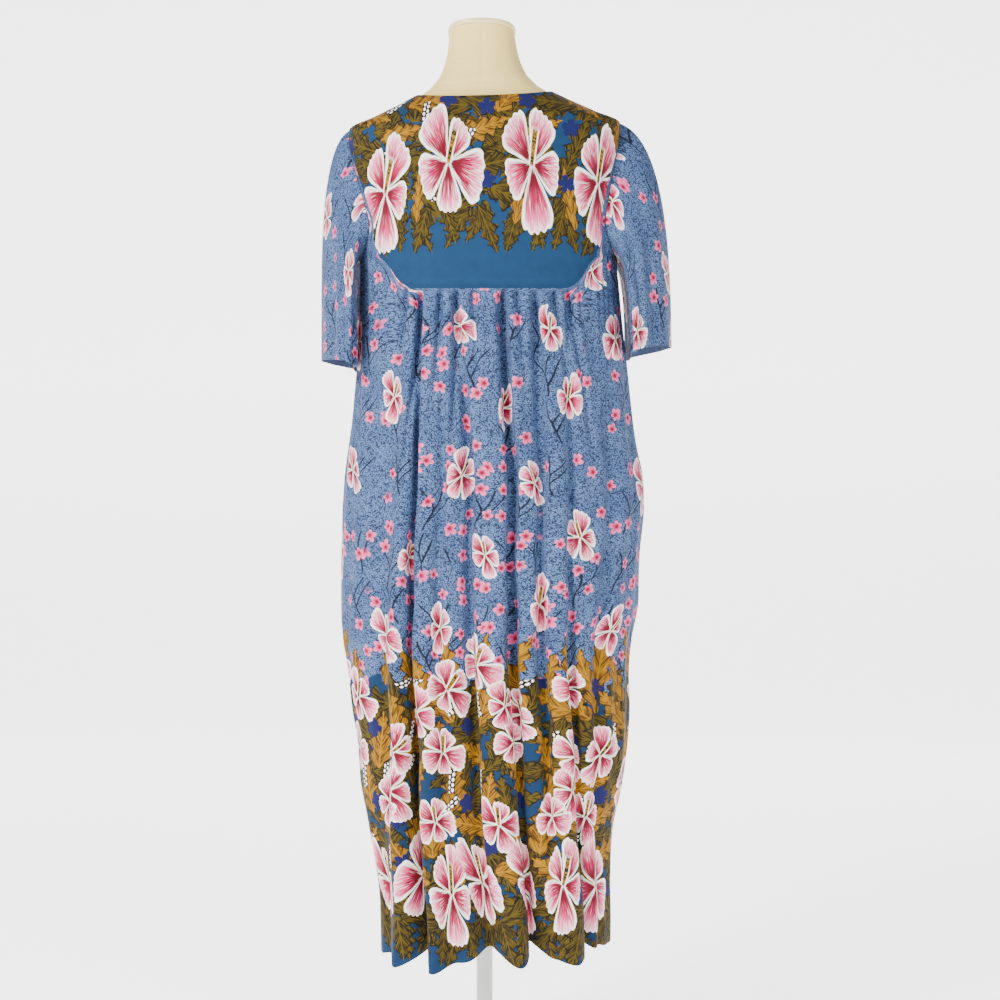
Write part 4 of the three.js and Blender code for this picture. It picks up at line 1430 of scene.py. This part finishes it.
@dataclass
class Material:
    """A material under construction."""

    name: str

    def __post_init__(self) -> None:
        """Makes the material with its shader."""
        self.made = bpy.data.materials.new(self.name)
        self.made.use_nodes = True
        self.tree = self.made.node_tree
        self.shader = self.tree.nodes["Principled BSDF"]

    def attribute(self, name: str) -> Wire:
        """A vector that a piece keeps for its corners."""
        node = self.tree.nodes.new("ShaderNodeAttribute")
        node.attribute_name = name
        return Wire(self.tree, node.outputs["Vector"])

    def cloth_place(self) -> Wire:
        """Place on the cut cloth in metres."""
        node = self.tree.nodes.new("ShaderNodeUVMap")
        node.uv_map = "cloth"
        return Wire(self.tree, node.outputs[0])

    def object_place(self) -> Wire:
        """Place in the frame, in metres."""
        return Wire(self.tree, self.tree.nodes.new("ShaderNodeTexCoord").outputs["Object"])

    def bump(self, height: Wire, strength: float, distance: float) -> None:
        """Feeds the shader's normal from a height."""
        node = self.tree.nodes.new("ShaderNodeBump")
        node.inputs["Strength"].default_value = strength
        node.inputs["Distance"].default_value = distance
        feed(self.tree, node.inputs["Height"], height)
        self.tree.links.new(node.outputs["Normal"], self.shader.inputs["Normal"])

    def finish(self, color: Wire | Dye, **constants: float) -> bpy.types.Material:
        """Feeds the base colour and sets the shader's constants, whose titles have _ for a space."""
        feed(self.tree, self.shader.inputs["Base Color"], color)
        for title, value in constants.items():
            self.shader.inputs[title.replace("_", " ")].default_value = value
        return self.made


@dataclass(frozen=True)
class CottonFinish:
    """Plain-woven printed cotton."""

    roughness: float = 0.86
    sheen: float = 0.03
    specular: float = 0.25
    sheen_roughness: float = 0.5
    weave_strength: float = 0.25
    weave_height: float = 0.0002
    border_top: float = 0.612
    border_stray: float = 0.11
    trinkets_on_body: Pair = (0.29, 0.63)
    trinkets_on_yoke: Pair = (1.34, 1.6)
    paling: float = 0.5

    def finished(self, material: Material, color: Wire, prints: Prints) -> bpy.types.Material:
        """The material with the cotton's gloss and weave."""
        weave = prints.weave.placed(material.cloth_place())
        material.bump(weave, self.weave_strength, self.weave_height)
        return material.finish(
            color,
            Roughness=self.roughness,
            Specular_IOR_Level=self.specular,
            Sheen_Weight=self.sheen,
            Sheen_Roughness=self.sheen_roughness,
        )

    def border(self, material: Material, color: Wire, prints: Prints, trinkets_in: Pair) -> Wire:
        """The border print over a ground.

        Args:
            material: The material.
            color: Colour of the ground.
            prints: The prints.
            trinkets_in: Heights between which florets and beads lie.

        Returns:
            Olive leaves, mustard leaves, florets with beads, and hibiscus, each over what comes before.
        """
        place, dyes = material.cloth_place(), prints.dyes
        olive = {"Tone": dyes.olive, "Dark": dyes.dark_olive, "Light": dyes.light_olive}
        mustard = {"Tone": dyes.mustard, "Dark": dyes.dark_mustard, "Light": dyes.light_mustard}
        for name, tones in (("under_place", olive), ("olive_place", olive), ("mustard_place", mustard)):
            color = prints.leaf.placed(material.attribute(name), Under=color, **tones)
        low, high = trinkets_in
        height = place.parts()[1]
        between = height.rise(low, low + 0.002) * height.fall(high - 0.002, high)
        color = mix(between, color, prints.trinkets.placed(place, Under=color))
        for name in ("far_flower_place", "flower_place"):
            color = prints.hibiscus.placed(material.attribute(name), Under=color)
        return color

    def body(self, prints: Prints) -> bpy.types.Material:
        """Squiggled ground with blossoms, and the border from an uneven line down to the hem."""
        material = Material("squiggle_print_cotton")
        place = material.cloth_place()
        color = prints.blossoms.placed(place, Under=prints.squiggles.placed(place))
        _, height, _ = place.parts()
        stray = (noise(place, 17, 2) - 0.5) * self.border_stray
        in_border = (height + stray).fall(self.border_top - 0.001, self.border_top + 0.001)
        color = mix(in_border, color, prints.dyes.border_blue)
        return self.finished(material, self.border(material, color, prints, self.trinkets_on_body), prints)

    def yoke(self, prints: Prints) -> bpy.types.Material:
        """Plain blue ground with the large border print."""
        material = Material("hibiscus_print_cotton")
        ground = noise(material.cloth_place(), 60, 3)
        blue = mix(ground, prints.dyes.border_blue, prints.dyes.light_blue)
        return self.finished(material, self.border(material, blue, prints, self.trinkets_on_yoke), prints)

    def wrong_side(self, prints: Prints) -> bpy.types.Material:
        """The cloth's inside: the ground shows through, paler and greyer."""
        material = Material("cotton_wrong_side")
        color = prints.squiggles.placed(material.cloth_place())
        return self.finished(material, mix(self.paling, color, prints.dyes.wrong_side), prints)


@dataclass(frozen=True)
class LinenFinish:
    """Cream linen: threads both ways, a little mottled."""

    cream: Dye = Dye(250, 230, 164)
    shade: Dye = Dye(228, 206, 150)
    roughness: float = 0.92

    def build(self) -> bpy.types.Material:
        """The linen material."""
        material = Material("cream_linen")
        place = material.object_place()
        x, y, z = place.parts()
        threads = noise(vector(x * 120, y * 120, z * 1400), 1, 2)
        across = noise(vector(x * 1400, y * 1400, z * 120), 1, 2)
        mottle = noise(place, 9, 2)
        color = mix(threads.rise(0.3, 0.7) * 0.35 + mottle * 0.4, self.cream, self.shade)
        material.bump(threads + across, 0.3, 0.0003)
        return material.finish(color, Roughness=self.roughness, Sheen_Weight=0.1)


@dataclass(frozen=True)
class PlainFinish:
    """A finish of one colour with faint mottling, such as satin, thread or painted metal."""

    name: str
    color: Dye
    roughness: float
    metallic: float = 0.0
    coat: float = 0.0
    mottle: float = 0.12
    grain: float = 40

    def build(self) -> bpy.types.Material:
        """The material, mottled by a slow noise."""
        material = Material(self.name)
        share = noise(material.object_place(), self.grain, 2) * self.mottle
        darker = Dye(self.color.red * 0.7, self.color.green * 0.7, self.color.blue * 0.7)
        color = mix(share, self.color, darker)
        return material.finish(color, Roughness=self.roughness, Metallic=self.metallic, Coat_Weight=self.coat)


@dataclass(frozen=True)
class Motif:
    """A motif on the cut cloth: place, half sizes, turn, and a chance value that varies its drawing."""

    across: float
    up: float
    half_wide: float
    half_tall: float
    turn: float
    seed: float


Motifs = dict[str, list[Motif]]


@dataclass
class PrintLayout:
    """Where motifs lie on the cut cloth: a layout of its own, strewn by a seeded chance.

    Attributes:
        reach: Half the width of cloth that is printed.
        centre: Place across the bolt of that width's middle.
        border_rows: Height, pitch, half width and half height of each row of flowers in the border.
        yoke_flowers: Place across and up, half width and half height of each large flower on a yoke.
    """

    reach: float = 470
    centre: float = 0
    border_rows: tuple[tuple[float, ...], ...] = (
        (320, 92, 39, 84),
        (428, 118, 35, 47),
        (524, 122, 37, 46),
        (603, 172, 40, 44),
    )
    yoke_flowers: tuple[tuple[float, ...], ...] = (
        (-156, 1360, 51, 98),
        (-54, 1400, 54, 100),
        (70, 1394, 55, 103),
        (178, 1372, 50, 98),
    )
    chance: np.random.Generator = field(default_factory=lambda: np.random.default_rng(SEED))

    def strewn(self, low: float, high: float, pitch: Pair, size: Pair) -> list[Motif]:
        """Motifs on a staggered lattice, each moved and turned by chance.

        Args:
            low: Lowest place up the cloth.
            high: Highest place up the cloth.
            pitch: Steps of the lattice across and up.
            size: Half width and half height of the motifs.

        Returns:
            The motifs.
        """
        made = []
        for row, up in enumerate(np.arange(low, high, pitch[1])):
            start = self.centre + (row % 2) * pitch[0] / 2
            for across in np.arange(-self.reach, self.reach, pitch[0]) + start:
                shift = self.chance.uniform(-0.24, 0.24, 2) * pitch
                scale = self.chance.uniform(0.85, 1.12)
                turn, seed = self.chance.uniform(-0.6, 0.6), self.chance.uniform()
                place = (across + shift[0], up + shift[1])
                made.append(Motif(*place, size[0] * scale, size[1] * scale, turn, seed))
        return made

    def leaves(self, *stretch: float | Pair, rest: float, spread: float) -> list[Motif]:
        """Leaves strewn over a stretch, turned about a resting angle by up to a spread."""
        strewn = self.strewn(*stretch)
        return [replace(motif, turn=rest + self.chance.uniform(-spread, spread)) for motif in strewn]

    def flowers_on_body(self) -> list[Motif]:
        """Rows of flowers in the border, and medium ones scattered above it."""
        return self.strewn(716, 1500, (196, 104), (28, 44)) + self.flower_rows(0, 0, 1)

    def flower_rows(self, first: int, shift: float, apart: float) -> list[Motif]:
        """The border's rows of flowers from the first on, lifted by shift and spread apart."""
        made = []
        for up, pitch, wide, tall in self.border_rows[first:]:
            made += self.strewn(up + shift, up + shift + 1, (pitch * apart, 62), (wide, tall))
        return made

    def olive_on_body(self, pitch: Pair) -> list[Motif]:
        """Olive leaves all through the border, and a row that hangs from it towards the hem."""
        through = self.leaves(290, 640, pitch, (46, 25), rest=np.pi / 2, spread=2.6)
        hanging = self.leaves(240, 241, (38, 26), (38, 20), rest=-np.pi / 2, spread=0.5)
        return through + hanging

    def on_body(self) -> Motifs:
        """Every motif of the body cloth, for each attribute that the print reads."""
        return {
            "flower_place": self.flowers_on_body(),
            "far_flower_place": self.flower_rows(1, 44, 2.4),
            "under_place": self.olive_on_body((88, 70)),
            "olive_place": self.olive_on_body((58, 52)),
            "mustard_place": self.mustard_on_body(),
        }

    def mustard_on_body(self) -> list[Motif]:
        """Mustard leaves among the flowers, and feathery ones that stand up out of the border."""
        among = self.leaves(350, 616, (76, 60), (40, 25), rest=np.pi / 2, spread=1.4)
        feathers = self.leaves(628, 672, (86, 26), (48, 21), rest=np.pi / 2, spread=0.5)
        return among + feathers

    def flowers_on_yoke(self, drop: float) -> list[Motif]:
        """Four large flowers in a row, lowered by drop."""
        turns = self.chance.uniform(-0.12, 0.12, len(self.yoke_flowers))
        seeds = self.chance.uniform(0, 1, len(self.yoke_flowers))
        return [
            Motif(across, up - drop, wide, tall, turn, seed)
            for (across, up, wide, tall), turn, seed in zip(self.yoke_flowers, turns, seeds)
        ]

    def olive_on_yoke(self, pitch: Pair) -> list[Motif]:
        """Olive leaves behind the flowers and in a ragged row that hangs below them."""
        behind = self.leaves(1345, 1530, pitch, (46, 27), rest=np.pi / 2, spread=2.6)
        hanging = self.leaves(1302, 1303, (42, 30), (40, 19), rest=-np.pi / 2, spread=0.55)
        return behind + hanging

    def mustard_on_yoke(self) -> list[Motif]:
        """Mustard leaves between the flowers, mostly near the neck."""
        high = self.leaves(1445, 1530, (112, 52), (38, 21), rest=0.4, spread=1.2)
        low = self.leaves(1345, 1346, (124, 30), (46, 13), rest=np.pi / 2, spread=0.3)
        return high + low


def place_motifs(piece: Object, attribute: str, motifs: list[Motif]) -> None:
    """Keeps, at each face corner, its place on the face's nearest motif, in the motif's half sizes.

    A place is turned back by the motif's turn and divided by its half sizes, so that the motif fills a
    circle of radius 1. The third part is the motif's chance value.

    Args:
        piece: Object with the UV map "cloth" and faces of four corners.
        attribute: Name of the attribute.
        motifs: The motifs.
    """
    mesh = piece.data
    corners = np.empty(len(mesh.loops) * 2, np.float32)
    mesh.uv_layers["cloth"].data.foreach_get("uv", corners)
    corners = corners.reshape(-1, 4, 2) / MM
    middles = corners.mean(axis=1)
    table = np.array([[m.across, m.up, m.half_wide, m.half_tall, m.turn, m.seed] for m in motifs])

    def local(places: Grid, rows: Grid) -> Grid:
        """Places on motifs."""
        off = places - rows[..., :2]
        cosine, sine = np.cos(rows[..., 4]), np.sin(rows[..., 4])
        x = (off[..., 0] * cosine + off[..., 1] * sine) / rows[..., 2]
        y = (off[..., 1] * cosine - off[..., 0] * sine) / rows[..., 3]
        return np.stack([x, y], axis=-1)

    nearest = np.zeros(len(middles), int)
    best = np.full(len(middles), np.inf)
    for index, row in enumerate(table):
        distance = np.linalg.norm(local(middles, row), axis=-1)
        nearest = np.where(distance < best, index, nearest)
        best = np.minimum(best, distance)
    chosen = table[nearest][:, None, :]
    places = local(corners, np.broadcast_to(chosen, (*corners.shape[:2], 6)))
    seeds = np.broadcast_to(chosen[..., 5:], (*corners.shape[:2], 1))
    data = np.concatenate([places, seeds], axis=-1).astype(np.float32)
    mesh.attributes.new(attribute, "FLOAT_VECTOR", "CORNER").data.foreach_set("vector", data.ravel())


@dataclass(frozen=True)
class Stitching:
    """Rows of machine stitches."""

    pitch: float = 3.2
    length: float = 2.3
    width: float = 0.6
    height: float = 0.35
    sink: float = 0.05

    def row(self, cloth: Cloth, edge: int, offset: float) -> tuple[Grid, Grid]:
        """One row beside an edge of a cloth.

        The edge's points move by offset along the cloth, square to the edge, and a stitch lies at each pitch.

        Args:
            cloth: The cloth.
            edge: Row of its grid, 0 or -1.
            offset: Distance from the edge.

        Returns:
            Points and faces of the stitches.
        """
        line, normals = cloth.outer[:, edge], cloth.normals[:, edge]
        if cloth.closed:
            line, normals = looped(line), looped(normals)
        inner = cloth.outer[:, 3 if edge == 0 else -4]
        tangents = unit(np.gradient(line, axis=0))
        inward = unit(np.cross(normals, tangents))
        inward = inward * np.sign(np.sum(inward[: len(inner)] * (inner - cloth.outer[:, edge])))
        line = line + inward * offset
        steps = np.linalg.norm(np.diff(line, axis=0), axis=-1)
        along = np.concatenate([[0], np.cumsum(steps)])
        stops = np.arange(self.pitch, along[-1] - self.pitch, self.pitch)
        middle, up, way = (
            np.stack([np.interp(stops, along, part[:, axis]) for axis in range(3)], axis=-1)
            for part in (line, normals, np.gradient(line, axis=0))
        )
        up, way = unit(up), unit(way)
        beside = unit(np.cross(up, way))
        signs = np.array([(a, b, c) for c in (0, 1) for b in (-1, 1) for a in (-1, 1)])
        points = (
            middle[:, None]
            + way[:, None] * signs[:, :1] * self.length / 2
            + beside[:, None] * signs[:, 1:2] * self.width / 2 * (1 - 0.4 * signs[:, 2:])
            + up[:, None] * (signs[:, 2:] * self.height - self.sink)
        )
        box = np.array([[0, 2, 3, 1], [4, 5, 7, 6], [0, 1, 5, 4], [2, 6, 7, 3], [0, 4, 6, 2], [1, 3, 7, 5]])
        faces = (np.arange(len(stops)) * 8)[:, None, None] + box
        return points.reshape(-1, 3), faces.reshape(-1, 4)

    def build(self, name: str, cloth: Cloth, rows: list[tuple[int, float]]) -> Object:
        """All rows of one cloth as one mesh.

        Args:
            name: Name of the object.
            cloth: The cloth.
            rows: Edge and offset of each row.

        Returns:
            The object.
        """
        points, faces, start = [], [], 0
        for edge, offset in rows:
            row_points, row_faces = self.row(cloth, edge, offset)
            points.append(row_points)
            faces.append(row_faces + start)
            start += len(row_points)
        return mesh_object(name, np.concatenate(points), np.concatenate(faces))


@dataclass(frozen=True)
class SoftLight:
    """A square soft light at a place, turned towards a point."""

    name: str
    place: tuple[float, float, float]
    aim: tuple[float, float, float]
    size: float
    power: float

    def build(self) -> None:
        """Makes the light and turns it."""
        lamp = bpy.data.lights.new(self.name, "AREA")
        lamp.energy, lamp.size = self.power, self.size
        made = bpy.data.objects.new(self.name, lamp)
        made.location = self.place
        way = np.subtract(self.aim, self.place)
        tilt, heading = np.arctan2(np.hypot(way[0], way[1]), -way[2]), np.arctan2(way[1], way[0])
        made.rotation_euler = (tilt, 0, heading - np.pi / 2)
        bpy.context.scene.collection.objects.link(made)


@dataclass
class Studio:
    """Pale floor and backdrop, soft lights, and the camera at the photograph's angle."""

    camera_place: tuple[float, float, float] = (0.024, -3.0, 0.894)
    lens: float = 69.68
    paper: Dye = Dye(244, 244, 243)
    paper_glow: float = 2.8
    half_wide: float = 7.0
    floor_from: float = -7.0
    floor_to: float = 3.6
    curve_radius: float = 1.4
    wall_top: float = 6.0
    world_color: tuple[float, float, float, float] = (0.93, 0.95, 1.0, 1.0)
    world_strength: float = 0.08
    lights: tuple[SoftLight, ...] = (
        SoftLight("key_light", place=(-2.2, -2.5, 3.1), aim=(0, 0, 0.9), size=0.7, power=255),
        SoftLight("fill_light", place=(2.0, -3.2, 2.0), aim=(0, 0, 0.8), size=1.0, power=62),
    )

    def paper_sweep(self) -> None:
        """Floor and backdrop: a profile of floor, quarter circle and wall, carried across."""
        turn = np.linspace(0, np.pi / 2, 24)
        curve_end = self.floor_to + self.curve_radius
        y = np.concatenate([[self.floor_from], self.floor_to + self.curve_radius * np.sin(turn), [curve_end]])
        z = np.concatenate([[0.0], self.curve_radius * (1 - np.cos(turn)), [self.wall_top]])
        count = len(y)
        sides = (-self.half_wide, self.half_wide)
        points = np.concatenate([np.stack([np.full(count, x), y, z], axis=-1) for x in sides])
        first = np.arange(count - 1)
        faces = np.stack([first, first + count, first + count + 1, first + 1], axis=-1)
        sweep = mesh_object("paper_sweep", points / MM, faces)
        material = PlainFinish("white_paper", self.paper, 0.9, mottle=0.02, grain=0.5).build()
        shader = material.node_tree.nodes["Principled BSDF"]
        shader.inputs["Emission Color"].default_value = (1, 1, 1, 1)
        shader.inputs["Emission Strength"].default_value = self.paper_glow
        sweep.data.materials.append(material)

    def build(self) -> None:
        """Makes the floor, lights, world and camera."""
        self.paper_sweep()
        for light in self.lights:
            light.build()
        world = bpy.data.worlds.new("soft_sky")
        world.use_nodes = True
        sky = world.node_tree.nodes["Background"]
        sky.inputs["Color"].default_value = self.world_color
        sky.inputs["Strength"].default_value = self.world_strength
        bpy.context.scene.world = world
        camera = bpy.data.objects.new("camera", bpy.data.cameras.new("camera"))
        camera.data.lens = self.lens
        camera.location = self.camera_place
        camera.rotation_euler = (np.pi / 2, 0, 0)
        bpy.context.scene.collection.objects.link(camera)
        bpy.context.scene.camera = camera


@dataclass
class Dress:
    """The dress: its cloth pieces with their prints and stitches."""

    cut: DressCut
    prints: Prints
    layout: PrintLayout = field(default_factory=PrintLayout)
    front_layout: PrintLayout = field(
        default_factory=lambda: PrintLayout(centre=1130, chance=np.random.default_rng(SEED + 4))
    )
    finish: CottonFinish = CottonFinish()
    thread: PlainFinish = PlainFinish("blue_thread", Dye(20, 58, 100), 0.7)
    folds_left: tuple[tuple[float, float, float], ...] = (
        (0.72, 0.25, 9),
        (1.3, 0.16, 5),
        (1.86, 0.14, 8),
        (2.25, 0.14, -3),
        (4.49, 0.27, 7),
    )
    folds_right: tuple[tuple[float, float, float], ...] = (
        (0.9, 0.24, 9),
        (1.45, 0.16, 6),
        (1.7, 0.12, -3),
        (2.05, 0.15, 8),
        (4.38, 0.27, 8),
    )

    def build(self) -> None:
        """Builds every piece of the dress."""
        body, yoke = self.finish.body(self.prints), self.finish.yoke(self.prints)
        wrong, thread = self.finish.wrong_side(self.prints), self.thread.build()
        layout = self.layout
        body_motifs = layout.on_body()
        under, olive = layout.olive_on_yoke((84, 64)), layout.olive_on_yoke((56, 50))
        mustard = layout.mustard_on_yoke()
        far = [Motif(0, 0, 1, 1, 0, 0)]
        for side, drop, columns, rows in ((Side.BACK, 0, 320, 150), (Side.FRONT, 22, 240, 130)):
            name = side.name.lower()
            yoke_motifs = {
                "flower_place": layout.flowers_on_yoke(drop),
                "far_flower_place": far,
                "under_place": under,
                "olive_place": olive,
                "mustard_place": mustard,
            }
            top = Yoke(self.cut, side).cloth()
            rows_sewn = [(0, 4.0), (0, 8.5), (-1, 5.5)]
            self.declare(f"{name}_yoke", top, (yoke, wrong), yoke_motifs, thread, rows_sewn)
            panel, motifs = BodyPanel(self.cut, side, columns, rows).cloth(), body_motifs
            if side is Side.FRONT:
                panel = panel.cut_at(self.front_layout.centre)
                motifs = self.front_layout.on_body()
            self.declare(f"{name}_panel", panel, (body, wrong), motifs, thread, [(-1, 12.0)])
        for sleeve in (
            Sleeve(
                self.cut,
                name="sleeve_left",
                side=-1,
                outer=250,
                inner=204,
                outer_z=1109,
                inner_z=1094,
                cap_out=48,
                cap_drop=0.53,
                folds=self.folds_left,
            ),
            Sleeve(
                self.cut,
                name="sleeve_right",
                side=1,
                outer=287,
                inner=228,
                outer_z=1130,
                inner_z=1112,
                cap_out=68,
                cap_drop=0.4,
                folds=self.folds_right,
            ),
        ):
            self.declare(sleeve.name, sleeve.cloth(), (body, wrong), body_motifs, thread, [(-1, 14.0)])

    def declare(
        self,
        node: str,
        cloth: Cloth,
        materials: tuple[bpy.types.Material, bpy.types.Material],
        motifs: Motifs,
        thread: bpy.types.Material,
        stitches: list[tuple[int, float]],
    ) -> None:
        """Makes a piece of cloth with its stitches, and logs its name, flat size and area.

        Args:
            node: Node that it replaces.
            cloth: The cloth.
            materials: Right side and wrong side.
            motifs: Motifs for each attribute that the print reads.
            thread: Material of the stitches.
            stitches: Edge and offset of each row of stitches.
        """
        piece = shell(f"{node}_cloth", cloth)
        for material in materials:
            piece.data.materials.append(material)
        for attribute, placed in motifs.items():
            place_motifs(piece, attribute, placed)
        sewn = Stitching().build(f"{node}_stitches", cloth, stitches)
        sewn.data.materials.append(thread)
        for made in (piece, sewn):
            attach(made, "root")
        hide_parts(node)
        cloth.area
        wide, long = cloth.flat_size
        LOG.info("%s: %.3f by %.3f m, %.3f m2", piece.name, wide, long, cloth.area)


@dataclass
class Stand:
    """The solids of the stand, kept as they are and painted."""

    paint: PlainFinish = PlainFinish("pale_painted_metal", Dye(206, 206, 204), 0.4, metallic=0.5, mottle=0.1)
    nodes: tuple[str, ...] = ("stand_pole", "stand_base")

    def build(self) -> None:
        """Gives both solids their paint."""
        material = self.paint.build()
        for name in self.nodes:
            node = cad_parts[name]
            node.data.materials.clear()
            node.data.materials.append(material)
            LOG.info("%s: painted", name)


@dataclass
class FormCover:
    """The form's body and neck cap with their finishes."""

    cut: DressCut
    satin: PlainFinish = PlainFinish("cream_satin", Dye(242, 226, 180), 0.38, coat=0.15, mottle=0.1)

    def build(self) -> None:
        """Builds both pieces and gives them their finishes."""
        form = PaddedForm(self.cut)
        made = (
            (form.build(), "form_body", Slot.FORM_LINEN, LinenFinish().build()),
            (NeckCap(form).build(), "form_neck_cap", Slot.NECK_CAP, self.satin.build()),
        )
        for piece, node, slot, material in made:
            piece.data.materials.append(material)
            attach(piece, "root")
            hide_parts(node)
            LOG.info("%s: %d faces", piece.name, len(piece.data.polygons))


def main() -> None:
    """Builds the form, the dress, the stand and the studio."""
    logging.basicConfig(level=logging.INFO, format="%(message)s")
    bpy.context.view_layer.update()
    cut = DressCut()
    FormCover(cut).build()
    Dress(cut, Prints()).build()
    Stand().build()
    Studio().build()


if __name__ == "__main__":
    main()
